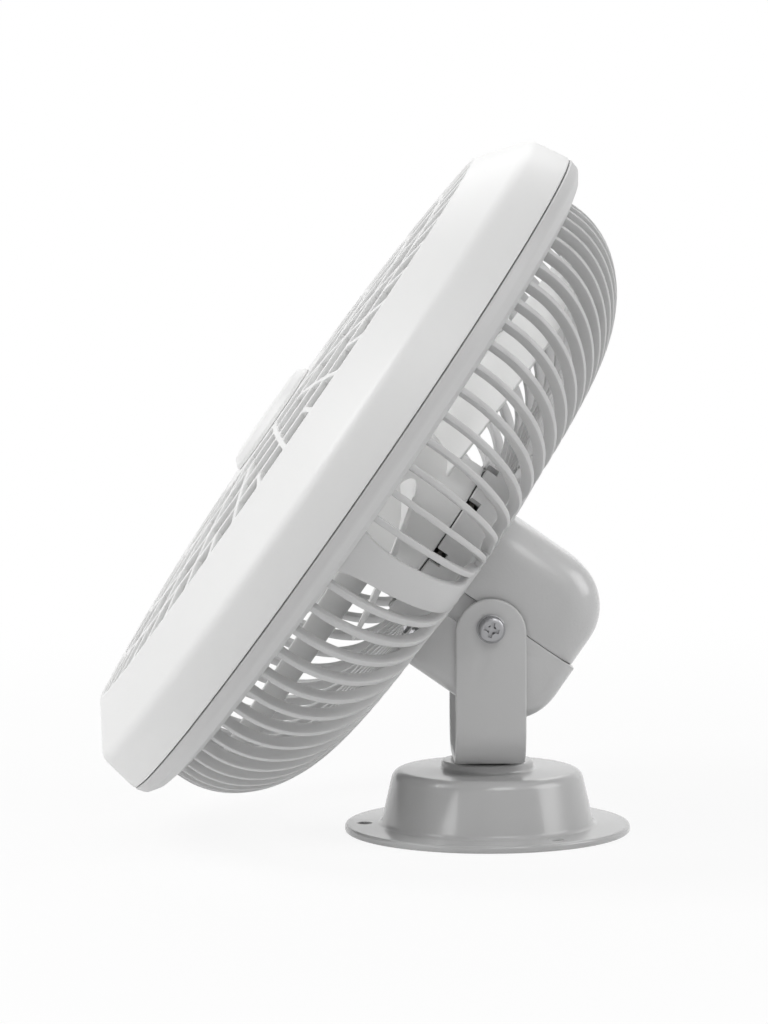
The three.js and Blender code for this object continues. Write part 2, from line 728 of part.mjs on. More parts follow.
// One blade as a loft of cambered sections from the hub to the tip. A section runs from the
// leading edge at the rear to the trailing edge at the front, and turns a little more at the root.
function blade(phase) {
  const [spans, chords] = [4, 4];
  const root = hubRadius - hubWall * 0.6;
  const point = (span, chord, side) => {
    const radius = root + (bladeTipRadius - root) * span;
    const turn = bladeRootSpan + (bladeTipSpan - bladeRootSpan) * span;
    const angle = radians(phase + bladeSweep * span ** 1.5 + turn * (chord - 0.5));
    const edge = Math.sin(Math.PI * chord) ** 0.5;
    const camber = bladeCamber * Math.sin(Math.PI * chord) * (1 - 0.4 * span);
    const shrink = 1 - 0.12 * span;
    const middle = (bladeRearForward + bladeFrontForward) / 2;
    const reach = (bladeFrontForward - bladeRearForward) / 2 * shrink;
    const height = middle + reach * (2 * chord - 1) - camber + side * bladeThickness * (0.2 + 0.3 * edge);
    return [radius * Math.cos(angle), radius * Math.sin(angle), height];
  };
  const positions = [];
  const quad = (a, b, c, d) => positions.push(...a, ...b, ...c, ...a, ...c, ...d);
  const steps = (count) => Array.from({ length: count }, (_, i) => [i / count, (i + 1) / count]);
  for (const [s0, s1] of steps(spans)) {
    for (const [c0, c1] of steps(chords)) {
      quad(point(s0, c0, 1), point(s1, c0, 1), point(s1, c1, 1), point(s0, c1, 1));
      quad(point(s0, c1, -1), point(s1, c1, -1), point(s1, c0, -1), point(s0, c0, -1));
    }
    quad(point(s0, 0, -1), point(s1, 0, -1), point(s1, 0, 1), point(s0, 0, 1));
    quad(point(s0, 1, 1), point(s1, 1, 1), point(s1, 1, -1), point(s0, 1, -1));
  }
  for (const [c0, c1] of steps(chords)) {
    quad(point(0, c0, -1), point(0, c0, 1), point(0, c1, 1), point(0, c1, -1));
    quad(point(1, c0, 1), point(1, c0, -1), point(1, c1, -1), point(1, c1, 1));
  }
  const geometry = new THREE.BufferGeometry();
  geometry.setAttribute('position', new THREE.Float32BufferAttribute(positions, 3));
  return toSolid(geometry);
}

const impeller = () => join(hub(), ...places(bladeCount, 1, bladePhase).map(([, , a]) => blade(a)));

function bladeNut() {
  const low = hubFrontForward + seatGap;
  const top = low + bladeNutHeight;
  const bore = aroundFlats(shaftRadius + pinGap, pinFacets);
  return revolved([
    [bore, low], [bladeNutRadius, low], [bladeNutRadius, low + 2], [bladeNutRadius - 2, top - 1],
    [bladeNutRadius - 4, top], [0, top], [0, top - 1.6], [bore, top - 1.6],
  ], pinFacets);
}

// ================= Rear housing, in the head's frame about the tilt axis =================
const housingFront = basketBackForward - seatGap;

// The side outline, [forward, up], inset from the outer surface, and open-ended forward.
function housingOutline(inset) {
  const corner = housingCorner - inset;
  const [rear, top, low] = [housingRear + inset, housingTop - inset, housingBottom + inset];
  const beyond = housingFront + housingWidth;
  return [
    [beyond, low], [beyond, top],
    ...arc(rear + corner, top - corner, corner, corner, 90, 180, 6),
    ...arc(rear + corner, low + corner, corner, corner, 180, 270, 6),
  ];
}

// Extrudes a side outline across the head, rounded towards its two sides by fillet.
function acrossHead(outline, width, fillet) {
  const geometry = new THREE.ExtrudeGeometry(shapeOf(outline), {
    depth: width - 2 * fillet,
    bevelEnabled: fillet > 0,
    bevelThickness: fillet,
    bevelSize: fillet,
    bevelOffset: -fillet,
    bevelSegments: 3,
  });
  return toSolid(geometry.translate(0, 0, fillet - width / 2).rotateY(-Math.PI / 2));
}

const wide = [-housingWidth, housingWidth];
const behindFront = [2 * housingRear, housingFront];
const upperSpace = block(wide, [partingHeight + seatGap / 2, 2 * housingTop], behindFront);
const lowerSpace = block(wide, [2 * housingBottom, partingHeight - seatGap / 2], behindFront);
const hollow = (fillet) => acrossHead(
  housingOutline(housingWall), housingWidth - 2 * housingWall, fillet - housingWall);

// The span between two distances from the middle, on one side.
const across = (side, near, far) => [side * near, side * far].sort((p, q) => p - q);

// The bosses behind the basket's plate, each on a web; rise picks the upper or the lower pair.
function plateBosses(rise) {
  const low = housingFront - plateBossLength;
  const at = (radius, from, to) => [1, -1].map((side) =>
    rod(radius, from, to, side * plateScrewX, rise));
  const webs = [1, -1].map((side) =>
    block(across(side, plateScrewX, sideFace - 1), [rise - 1, rise + 1], [low, housingFront]));
  return {
    bosses: [...at(plateBossRadius, low, housingFront), ...webs],
    bores: at(plateScrewRadius + stackGap, low + 1, housingFront + 1),
  };
}

// Posts that the two long screws join across the parting plane, upright between two heights.
function uprightRods(radius, from, to) {
  return [1, -1].map((side) => toSolid(rodGeometry(radius, from, to).rotateX(-Math.PI / 2)
    .translate(side * shellPostX, 0, shellPostForward)));
}

function upperShell() {
  const outer = acrossHead(housingOutline(0), housingWidth, housingFillet);
  const { bosses, bores } = plateBosses(plateScrewUpper);
  const skin = cut(outer, hollow(housingFillet)).intersect(upperSpace);
  const posts = uprightRods(shellPostRadius, partingHeight + seatGap / 2, housingTop - 1);
  const postBores = uprightRods(shellScrewRadius + stackGap, 0, housingTop - 8);
  const switchHole = block(
    [-switchWidth / 2 + 1 - holeGap, switchWidth / 2 - 1 + holeGap],
    [switchRise - switchHeight / 2 + 0.8 - holeGap, switchRise + switchHeight / 2 - 0.8 + holeGap],
    [housingRear - 2, housingRear + housingWall + 1]);
  return cut(join(skin, ...bosses, ...posts), ...bores, ...postBores, switchHole);
}

const shellHeadRadius = 2 * shellScrewRadius;
const shellHeadHeight = 1.6;
const shellHeadSeat = housingBottom - lowerStep + shellHeadHeight + 0.6;

function lowerShell() {
  const outer = acrossHead(housingOutline(-lowerStep), housingWidth, lowerFillet);
  const { bosses, bores } = plateBosses(plateScrewLower);
  const skin = cut(outer, hollow(lowerFillet)).intersect(lowerSpace);
  const half = recessHeight / 2;
  const recessTop = partingHeight - seatGap / 2;
  const sides = [1, -1].map((side) => ({
    pad: block(across(side, recessFloor - housingWall, sideFace - 1), [-half - 2, recessTop],
      [-recessReach - 2, housingFront]),
    recess: block(across(side, recessFloor, sideFace + 1), [-half, recessTop + 1],
      [-recessReach, housingFront + 1]),
    boss: crossRod(tiltBossRadius, ...across(side, recessFloor - 0.5, armInside - seatGap), pinFacets),
  }));
  const posts = uprightRods(shellPostRadius, housingBottom + 1, partingHeight - seatGap / 2);
  const postBores = [
    ...uprightRods(shellScrewRadius + holeGap, housingBottom - 5, partingHeight + 1),
    ...uprightRods(shellHeadRadius + holeGap, housingBottom - 5, shellHeadSeat),
  ];
  const tiltHole = crossRod(tiltScrewRadius + holeGap, -housingWidth, housingWidth, pinFacets);
  const inletHole = rod(inletRadius + holeGap, housingRear - 2, housingRear + housingWall + 1,
    0, inletRise, pinFacets);
  const recessed = cut(join(skin, ...sides.map((s) => s.pad)), ...sides.map((s) => s.recess));
  return cut(join(recessed, ...sides.map((s) => s.boss), ...bosses, ...posts),
    ...bores, ...postBores, tiltHole, inletHole);
}

function shellScrew(side) {
  const seat = stackGap - shellHeadSeat;
  const section = screwSection(shellScrewRadius, shellHeadRadius, -(housingTop - 9), seat,
    shellHeadHeight);
  return revolved(section, screwFacets).rotate([90, 0, 0])
    .translate([side * shellPostX, 0, shellPostForward]);
}

function plateScrew([x, y]) {
  const tip = housingFront - plateBossLength + 2;
  const seat = plateForward + stackGap;
  return revolved(screwSection(plateScrewRadius, 2.9, tip, seat, 1.8), screwFacets)
    .translate([x, y, 0]);
}

// ================= Switch, inlet and board =================
const switchFace = housingRear - stackGap - switchBezel;
const rockerAxis = switchFace + rockerPivotDepth;
const rockerDrum = rockerPivotDepth + 2.2;

function switchBody() {
  const [halfWidth, halfHeight] = [switchWidth / 2, switchHeight / 2];
  const bezel = block([-halfWidth, halfWidth], [-halfHeight, halfHeight],
    [switchFace, switchFace + switchBezel]);
  const body = block([-halfWidth + 1, halfWidth - 1], [-halfHeight + 0.8, halfHeight - 0.8],
    [switchFace + switchBezel - 0.2, switchFace + switchDepth]);
  const window = block(
    [-rockerLength / 2 - rockerGap, rockerLength / 2 + rockerGap],
    [-rockerWidth / 2 - seatGap, rockerWidth / 2 + seatGap],
    [switchFace - 1, rockerAxis + rockerDrum + seatGap]);
  const terminals = [-4, 0, 4].map((x) =>
    block([x - 1, x + 1], [-0.4, 0.4], [switchFace + switchDepth - 1, switchFace + switchDepth + 4]));
  return cut(join(bezel, body, ...terminals), window).translate([0, switchRise, 0]);
}

// Two faces that meet in a shallow valley over a round drum.
function switchRocker() {
  const half = rockerLength / 2;
  const outline = shapeOf([
    [-half, switchFace - rockerProud], [0, switchFace - 0.2], [half, switchFace - rockerProud],
    [half, rockerAxis],
    ...arc(0, rockerAxis, half, rockerDrum, rockerDrumStart, 180 - rockerDrumStart, 6),
    [-half, rockerAxis],
  ]);
  return toSolid(new THREE.ExtrudeGeometry(outline, { depth: rockerWidth, bevelEnabled: false })
    .rotateX(Math.PI / 2).translate(0, rockerWidth / 2 + switchRise, 0));
}

function powerInlet() {
  const face = housingRear - lowerStep - stackGap;
  const section = [
    [0, face + inletDepth - 1.6], [inletPinRadius, face + inletDepth - 1.6],
  ];
  const barrel = revolved([
    [0, face + inletDepth], [inletRadius, face + inletDepth], [inletRadius, face],
    [inletFlange, face], [inletFlange, face - inletFlangeThickness],
    [inletBoreRadius, face - inletFlangeThickness], [inletBoreRadius, section[0][1]],
    [inletPinRadius, section[1][1]], [inletPinRadius, face + 1], [0, face + 1],
  ], pinFacets);
  return barrel.translate([0, inletRise, 0]);
}

function controlBoard() {
  const low = housingBottom + housingWall + seatGap;
  const high = housingTop - housingWall - seatGap;
  const front = boardForward + boardThickness;
  const half = boardWidth / 2;
  const board = block([-half, half], [low, high], [boardForward, front]);
  const behind = (depth) => [boardForward - depth, boardForward + 0.4];
  const parts = [
    rod(4, boardForward - 9, boardForward + 0.4, -4.5, 20, 12),
    block([1.5, 8.5], [16, 23], behind(4.5)),
    block([-8, -3], [-1, 6], behind(1.6)),
    block([2, 8], [-4, 2], behind(2.6)),
    block([-6, 6], [-16, -11], behind(5.5)),
  ];
  return join(board, ...parts);
}

// ================= Assembly =================
const fan = new THREE.Group();
const head = new THREE.Group();
head.position.z = tiltHeight;
head.rotation.x = radians(90 - restElevation);
const fanAxis = new THREE.Group();
fanAxis.position.y = fanAxisRise;
fan.add(head);
head.add(fanAxis);

fan.add(
  toMesh('base_shell', baseShell(), greyPaint),
  toMesh('base_weight', baseWeight(), darkSteel),
  ...weightPosts.map((place, i) =>
    toMesh(`base_weight_screw_${i + 1}`, weightScrew(place), brightSteel)),
  toMesh('swivel_screw', swivelScrew(), brightSteel),
  toMesh('swivel_washer', swivelWasher(), brightSteel),
  toMesh('swivel_nut', swivelNut(), brightSteel),
  toMesh('strap', strap(), greyPaint),
);

for (const [side, word] of [[1, 'right'], [-1, 'left']]) {
  head.add(
    toMesh(`tilt_screw_${word}`, tiltScrew(side), brightSteel),
    toMesh(`tilt_washer_${word}`, tiltWasher(side), brightSteel),
    toMesh(`tilt_nut_${word}`, tiltNut(side), brightSteel),
    toMesh(`housing_screw_${word}`, shellScrew(side), brightSteel),
  );
}

head.add(
  toMesh('housing_upper', upperShell(), greyPlastic),
  toMesh('housing_lower', lowerShell(), greyPlastic),
  toMesh('switch_body', switchBody(), blackPlastic),
  toMesh('switch_rocker', switchRocker(), blackPlastic),
  toMesh('power_inlet', powerInlet(), blackPlastic),
  toMesh('control_board', controlBoard(), boardGreen),
);

fanAxis.add(
  toMesh('front_guard', frontGuard(), whitePlastic),
  toMesh('centre_cap', centreCap(), whitePlastic),
  toMesh('rear_basket', rearBasket(), cagePlastic),
  ...plateScrewPlaces.map((place, i) =>
    toMesh(`basket_screw_${i + 1}`, plateScrew(place), brightSteel)),
  toMesh('motor_base', motorBase(), darkSteel),
  ...motorScrewPlaces.map((place, i) =>
    toMesh(`motor_screw_${i + 1}`, motorScrew(place), brightSteel)),
  toMesh('bearing_rear', bearing(rearBearingLow), brightSteel),
  toMesh('bearing_front', bearing(frontBearingLow), brightSteel),
  toMesh('stator_core', statorCore(), darkSteel),
  toMesh('stator_windings', statorWindings(), copper),
  toMesh('rotor_can', rotorCan(), darkSteel),
  toMesh('magnet_ring', magnetRing(), darkSteel),
  toMesh('motor_shaft', motorShaft(), brightSteel),
  toMesh('impeller', impeller(), whitePlastic),
  toMesh('blade_nut', bladeNut(), whitePlastic),
);

export default fan;
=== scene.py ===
import json
import math

import bmesh
import bpy
from mathutils import Matrix, Vector


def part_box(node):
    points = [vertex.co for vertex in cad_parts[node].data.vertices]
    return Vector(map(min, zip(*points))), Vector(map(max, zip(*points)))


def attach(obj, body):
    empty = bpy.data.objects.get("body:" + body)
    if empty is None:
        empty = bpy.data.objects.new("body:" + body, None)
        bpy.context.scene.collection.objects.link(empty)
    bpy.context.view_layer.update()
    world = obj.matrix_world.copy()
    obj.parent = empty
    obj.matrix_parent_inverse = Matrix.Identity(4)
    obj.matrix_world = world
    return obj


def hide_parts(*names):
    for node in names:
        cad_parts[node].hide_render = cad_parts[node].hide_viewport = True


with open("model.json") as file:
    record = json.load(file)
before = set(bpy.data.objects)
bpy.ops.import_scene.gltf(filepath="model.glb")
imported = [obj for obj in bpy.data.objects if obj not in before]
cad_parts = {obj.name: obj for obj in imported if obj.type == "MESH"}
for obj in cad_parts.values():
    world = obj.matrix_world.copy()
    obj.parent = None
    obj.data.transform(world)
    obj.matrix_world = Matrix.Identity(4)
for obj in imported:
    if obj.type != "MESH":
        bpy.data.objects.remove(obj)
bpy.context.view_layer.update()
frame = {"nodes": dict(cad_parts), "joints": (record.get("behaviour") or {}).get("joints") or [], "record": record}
nodes = frame["nodes"]
print("frame loaded:", len(nodes), "nodes")

mm = 0.001
smoothAngle = 32  # degrees; a sharper edge stays sharp
arcShare = 0.49  # the most that an arc takes of the side next to it
fadeBase = 2.718


def jointNamed(name):
    return next(joint for joint in frame["joints"] if joint["name"] == name)


# X stays across the fan, Y becomes up and Z points the way the fan blows
def placeAlong(position, forward):
    across = Vector((1, 0, 0))
    turn = Matrix((across, forward.cross(across), forward)).transposed().to_4x4()
    return Matrix.Translation(position) @ turn


blowing = Vector(jointNamed("fan_spin")["axis"])
fanPlace = placeAlong(Vector(jointNamed("fan_spin")["pos_m"]), blowing)
headPlace = placeAlong(Vector(jointNamed("tilt")["pos_m"]), blowing)
standing = Matrix.Identity(4)
tiltHeight = jointNamed("tilt")["pos_m"][2] / mm


# a node's points in mm, as a place sees them
def pointsOf(node, place):
    toLocal = place.inverted()
    return [(toLocal @ vertex.co) / mm for vertex in nodes[node].data.vertices]


# how far a node reaches from the axis of a place, and its span along it
def spanOf(node, place=fanPlace):
    points = pointsOf(node, place)
    radius = max(math.hypot(point.x, point.y) for point in points)
    return radius, min(point.z for point in points), max(point.z for point in points)


# a standing node's lowest and highest point in mm
def heightsOf(node):
    low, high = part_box(node)
    return low.z / mm, high.z / mm


# a node's lowest and highest corners in the head's own directions
def headBox(node):
    points = pointsOf(node, headPlace)
    return [Vector([pick(point[i] for point in points) for i in range(3)]) for pick in (min, max)]


headRadius, seamForward, _ = spanOf("front_guard")
_, basketBack, _ = spanOf("rear_basket")
_, hubRear, _ = spanOf("impeller")
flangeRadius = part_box("base_shell")[1].x / mm


def around(radius, degrees):
    angle = math.radians(degrees)
    return radius * math.cos(angle), radius * math.sin(angle)


# corners are (x, y, rounding); every rounded one becomes an arc
def roundedPath(corners, steps=5):
    path = []
    for i, (x, y, rounding) in enumerate(corners):
        here = Vector((x, y))
        if rounding <= 0:
            path.append(here)
            continue
        before = Vector(corners[i - 1][:2]) - here
        after = Vector(corners[(i + 1) % len(corners)][:2]) - here
        half = before.angle(after) / 2
        run = min(rounding / math.tan(half), before.length * arcShare, after.length * arcShare)
        radius = run * math.tan(half)
        toBefore, toAfter = before.normalized(), after.normalized()
        centre = (toBefore + toAfter).normalized() * radius / math.sin(half)
        first, last = toBefore * run - centre, toAfter * run - centre
        sweep = first.angle_signed(last)
        for step in range(steps + 1):
            arm = first.copy()
            arm.rotate(Matrix.Rotation(-sweep * step / steps, 2))
            path.append(here + centre + arm)
    return path


def finishedMesh(mesh):
    data = bpy.data.meshes.new("part")
    mesh.to_mesh(data)
    mesh.free()
    return data


# joins doubles and turns the faces of a closed mesh out
def closedMesh(mesh, weld):
    bmesh.ops.remove_doubles(mesh, verts=mesh.verts, dist=weld)
    bmesh.ops.recalc_face_normals(mesh, faces=mesh.faces)
    return finishedMesh(mesh)


# turns a closed (radius, forward) outline about Z; points on the axis close the pole
def lathe(outline, segments=96):
    mesh = bmesh.new()
    rings = []
    turns = [2 * math.pi * i / segments for i in range(segments)]
    for radius, height in outline:
        if radius < 1e-6:
            rings.append([mesh.verts.new((0, 0, height))])
        else:
            rings.append([mesh.verts.new((radius * math.cos(turn), radius * math.sin(turn), height))
                    for turn in turns])
    for i, ring in enumerate(rings):
        other = rings[(i + 1) % len(rings)]
        if len(ring) == 1 and len(other) == 1:
            continue
        for k in range(segments):
            after = (k + 1) % segments
            corners = [ring[k % len(ring)], ring[after % len(ring)],
                other[after % len(other)], other[k % len(other)]]
            mesh.faces.new(list(dict.fromkeys(corners)))
    return closedMesh(mesh, weld=1e-5)


def rounded(corners, steps=5, segments=96):
    return lathe(roundedPath(corners, steps), segments)


def rod(radius, low, high, segments=40):
    return lathe([(0, low), (radius, low), (radius, high), (0, high)], segments)


# a closed (x, y) outline pulled along Z from low to high
def prism(outline, low, high):
    mesh = bmesh.new()
    bottom = [mesh.verts.new((x, y, low)) for x, y in outline]
    top = [mesh.verts.new((x, y, high)) for x, y in outline]
    mesh.faces.new(bottom[::-1])
    mesh.faces.new(top)
    for i in range(len(outline)):
        k = (i + 1) % len(outline)
        mesh.faces.new((bottom[i], bottom[k], top[k], top[i]))
    bmesh.ops.recalc_face_normals(mesh, faces=mesh.faces)
    return finishedMesh(mesh)


def box(x, y, z):
    return prism([(x[0], y[0]), (x[1], y[0]), (x[1], y[1]), (x[0], y[1])], z[0], z[1])


def moved(data, place):
    data.transform(place)
    return data


def turned(data, degrees, axis):
    return moved(data, Matrix.Rotation(math.radians(degrees), 4, axis))


def shifted(data, x=0, y=0, z=0):
    return moved(data, Matrix.Translation((x, y, z)))


# several meshes in one, as they lie
def gathered(*parts):
    mesh = bmesh.new()
    for part in parts:
        mesh.from_mesh(part)
    return finishedMesh(mesh)


def holderOf(data, name="holder"):
    holder = bpy.data.objects.new(name, data)
    bpy.context.scene.collection.objects.link(holder)
    return holder


# the mesh with its modifiers in it; the holder goes
def evaluated(holder):
    bpy.context.view_layer.update()
    graph = bpy.context.evaluated_depsgraph_get()
    data = bpy.data.meshes.new_from_object(holder.evaluated_get(graph))
    bpy.data.objects.remove(holder)
    return data


# joins or cuts meshes one after the other
def combined(data, operation, *tools):
    for tool in tools:
        holder, other = holderOf(data), holderOf(tool)
        change = holder.modifiers.new("change", "BOOLEAN")
        change.object, change.operation, change.solver = other, operation, "EXACT"
        data = evaluated(holder)
        bpy.data.objects.remove(other)
    return data


# rounds the edges that are sharper than an angle
def softened(data, width, steps=3, angle=35):
    holder = holderOf(data)
    bevel = holder.modifiers.new("bevel", "BEVEL")
    bevel.width, bevel.segments = width, steps
    bevel.limit_method, bevel.angle_limit = "ANGLE", math.radians(angle)
    bevel.miter_outer = "MITER_ARC"
    bevel.use_clamp_overlap = True
    return evaluated(holder)


# gives a skin its wall, inwards
def walled(data, wall):
    holder = holderOf(data)
    thick = holder.modifiers.new("wall", "SOLIDIFY")
    thick.thickness, thick.offset, thick.use_even_offset = wall, -1, True
    return evaluated(holder)


# puts a finished mesh, made in mm, where it belongs
def piece(name, data, place, body, slot, *replaced):
    data.transform(place @ Matrix.Scale(mm, 4))
    data.name = name
    data.materials.clear()
    data.materials.append(finishes[slot])
    data.shade_smooth()
    data.set_sharp_from_angle(angle=math.radians(smoothAngle))
    holder = holderOf(data, name)
    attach(holder, body)
    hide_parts(*replaced)


# inputs take a value, a socket to link or a list of sockets
def addNode(tree, kind, inputs=None, **settings):
    made = tree.nodes.new(kind)
    for key, value in settings.items():
        setattr(made, key, value)
    for key, value in (inputs or {}).items():
        for source in value if isinstance(value, list) else [value]:
            if isinstance(source, bpy.types.NodeSocket):
                tree.links.new(source, made.inputs[key])
            else:
                made.inputs[key].default_value = source
    return made


# the first output of a new geometry node
def geo(tree, kind, inputs=None, **settings):
    return addNode(tree, "GeometryNode" + kind, inputs, **settings).outputs[0]


signs = {"+": "ADD", "-": "SUBTRACT", "*": "MULTIPLY", "/": "DIVIDE", "*+": "MULTIPLY_ADD"}


# one sum of up to three terms; "*+" multiplies two and adds the third
def calcIn(tree, operation, *terms):
    kind = signs.get(operation, operation)
    return addNode(tree, "ShaderNodeMath", dict(enumerate(terms)), operation=kind).outputs[0]


def vectorOf(tree, **parts):
    return addNode(tree, "ShaderNodeCombineXYZ", parts).outputs[0]


def positionIn(tree):
    return addNode(tree, "ShaderNodeSeparateXYZ", {0: geo(tree, "InputPosition")}).outputs


# sets a geometry's points to a Position or moves them by an Offset
def reshaped(tree, geometry, **change):
    return geo(tree, "SetPosition", {"Geometry": geometry, **change})


def placed(tree, geometry, **change):
    return geo(tree, "Transform", {"Geometry": geometry, **change})


# a tree with one input for each size in the dictionary, and its own way to calculate
def newTree(name, sizes):
    tree = bpy.data.node_groups.new(name, "GeometryNodeTree")
    for label, value in sizes.items():
        kind = "NodeSocketInt" if isinstance(value, int) else "NodeSocketFloat"
        tree.interface.new_socket(label, in_out="INPUT", socket_type=kind).default_value = value
    tree.interface.new_socket("Material", in_out="INPUT", socket_type="NodeSocketMaterial")
    tree.interface.new_socket("Geometry", in_out="OUTPUT", socket_type="NodeSocketGeometry")
    given = tree.nodes.new("NodeGroupInput").outputs
    return tree, given, lambda operation, *terms: calcIn(tree, operation, *terms)


def endedTree(tree, given, geometry):
    real = geo(tree, "RealizeInstances", {"Geometry": geometry})
    dressed = geo(tree, "SetMaterial", {"Geometry": real, "Material": given["Material"]})
    addNode(tree, "NodeGroupOutput", {0: dressed})
    return tree


# copies of a geometry set round the axis, from a first angle on, in degrees
def roundTheAxis(tree, geometry, count, first, pitch):
    points = geo(tree, "Points", {"Count": count})
    index = geo(tree, "InputIndex")
    angle = calcIn(tree, "RADIANS", calcIn(tree, "*+", index, pitch, first))
    return geo(tree, "InstanceOnPoints", {
        "Points": points, "Instance": geometry, "Rotation": vectorOf(tree, Z=angle)})


# ends a tree with Count of a geometry round the axis
def endedRing(tree, given, geometry):
    ring = roundTheAxis(tree, geometry, given["Count"], given["First"], given["Pitch"])
    return endedTree(tree, given, ring)


def treeMesh(tree, sizes, slot):
    holder = holderOf(bpy.data.meshes.new("empty"))
    change = holder.modifiers.new("tree", "NODES")
    change.node_group = tree
    given = {**sizes, "Material": finishes[slot]}
    for socket in tree.interface.items_tree:
        if socket.in_out == "INPUT":
            change[socket.identifier] = given[socket.name]
    data = evaluated(holder)
    print(tree.name, len(data.polygons), "faces")
    return data


# falls from 1 as a distance grows
def fading(calc, distance, rate):
    return calc("POWER", fadeBase, calc("*", distance, rate))


def softProfile(tree, width, height, rounding):
    flat = geo(tree, "CurvePrimitiveQuadrilateral", {"Width": width, "Height": height})
    return geo(tree, "FilletCurve", {"Curve": flat, "Radius": rounding, "Count": 2}, mode="POLY")


# points along a straight line, which the trees bend or place afterwards
def lineOf(tree, start, end, count):
    line = geo(tree, "CurvePrimitiveLine", {"Start": start, "End": end})
    return geo(tree, "ResampleCurve", {"Curve": line, "Count": count})


def swept(tree, path, profile):
    level = geo(tree, "SetCurveNormal", {"Curve": path}, mode="Z_UP")
    return geo(tree, "CurveToMesh", {"Curve": level, "Profile Curve": profile, "Fill Caps": True})


# what all the finishes share: the slow drift, the fine grain and how they set tone and gloss
plainFinish = {
    "drift": 0.02, "driftScale": 22.0, "driftDetail": 3.0, "grain": 1500, "grainDepth": 0.1,
    "grainDetail": 2.0, "grainRoughness": 0.6, "grainShare": 0.35, "glossFrom": 0.3,
    "glossTo": 0.7, "bumpDistance": 0.0004, "metal": 0.0, "coat": 0.0, "coatRoughness": 0.18}
finishLooks = {
    "white_plastic": {"colour": (0.87, 0.87, 0.865), "drift": 0.012, "roughness": (0.36, 0.46)},
    "cage_plastic": {"colour": (0.66, 0.66, 0.66), "roughness": (0.36, 0.48)},
    "grey_plastic": {"colour": (0.62, 0.62, 0.62), "roughness": (0.26, 0.34), "grain": 1300,
        "coat": 0.6, "coatRoughness": 0.22},
    "black_plastic": {"colour": (0.03, 0.03, 0.033), "drift": 0.004, "roughness": (0.3, 0.42),
        "grainDepth": 0.12},
    "board_green": {"colour": (0.06, 0.22, 0.12), "roughness": (0.35, 0.5), "grain": 900,
        "grainDepth": 0.05},
    "grey_paint": {"colour": (0.54, 0.54, 0.54), "drift": 0.012, "roughness": (0.2, 0.26),
        "grain": 2400, "grainDepth": 0.02, "coat": 0.4, "coatRoughness": 0.1},
    "strap_paint": {"colour": (0.62, 0.62, 0.62), "drift": 0.015, "roughness": (0.3, 0.4),
        "grain": 2400, "grainDepth": 0.03, "coat": 0.3},
    "screw_steel": {"colour": (0.34, 0.34, 0.35), "drift": 0.05, "roughness": (0.24, 0.4),
        "grain": 2600, "metal": 1.0},
    "bearing_steel": {"colour": (0.7, 0.7, 0.71), "drift": 0.03, "roughness": (0.15, 0.25),
        "grain": 2600, "grainDepth": 0.05, "metal": 1.0},
    "dark_steel": {"colour": (0.05, 0.045, 0.04), "drift": 0.01, "roughness": (0.35, 0.55),
        "grain": 1800, "grainDepth": 0.15, "metal": 0.4},
    "magnet": {"colour": (0.08, 0.08, 0.085), "drift": 0.01, "roughness": (0.5, 0.7),
        "grain": 2200, "grainDepth": 0.2},
    "copper_wire": {"colour": (0.55, 0.25, 0.12), "drift": 0.05, "roughness": (0.25, 0.4),
        "grain": 1600, "grainDepth": 0.2, "metal": 0.9}}


def newMaterial(name):
    material = bpy.data.materials.new(name)
    material.use_nodes = True
    tree = material.node_tree
    return material, tree, tree.nodes["Principled BSDF"]


# slow drift of tone, a fine moulding or paint grain, and gloss that varies a little
def newFinish(name, look):
    material, tree, shader = newMaterial(name)
    sockets = shader.inputs
    where = addNode(tree, "ShaderNodeTexCoord").outputs["Object"]
    broad = addNode(tree, "ShaderNodeTexNoise", {
        "Vector": where, "Scale": look["driftScale"], "Detail": look["driftDetail"]}).outputs[0]
    fine = addNode(tree, "ShaderNodeTexNoise", {
        "Vector": where, "Scale": float(look["grain"]), "Detail": look["grainDetail"],
        "Roughness": look["grainRoughness"]}).outputs[0]
    light, dark = [tuple(max(0.0, part + side * look["drift"]) for part in look["colour"]) + (1,)
        for side in (1, -1)]
    share = look["grainShare"]
    blend = calcIn(tree, "*+", fine, share, calcIn(tree, "*", broad, 1 - share))
    tone = addNode(tree, "ShaderNodeMix", {"Factor": blend, "A": dark, "B": light},
        data_type="RGBA")
    low, high = look["roughness"]
    gloss = addNode(tree, "ShaderNodeMapRange", {
        "Value": blend, "From Min": look["glossFrom"], "From Max": look["glossTo"],
        "To Min": low, "To Max": high})
    bump = addNode(tree, "ShaderNodeBump", {
        "Height": fine, "Strength": look["grainDepth"], "Distance": look["bumpDistance"]})
    tree.links.new(tone.outputs["Result"], sockets["Base Color"])
    tree.links.new(gloss.outputs[0], sockets["Roughness"])
    tree.links.new(bump.outputs[0], sockets["Normal"])
    sockets["Metallic"].default_value = look["metal"]
    sockets["Coat Weight"].default_value = look["coat"]
    sockets["Coat Roughness"].default_value = look["coatRoughness"]
    return material


finishes = {slot: newFinish(slot + "_finish", {**plainFinish, **look})
    for slot, look in finishLooks.items()}
slotOf = {row["node"]: row["material_slot"] for row in frame["record"]["subparts"]}
print("finishes made:", len(finishes))

for nodeName, nodeObject in nodes.items():
    nodeObject.data.materials.clear()
    nodeObject.data.materials.append(finishes[slotOf[nodeName]])


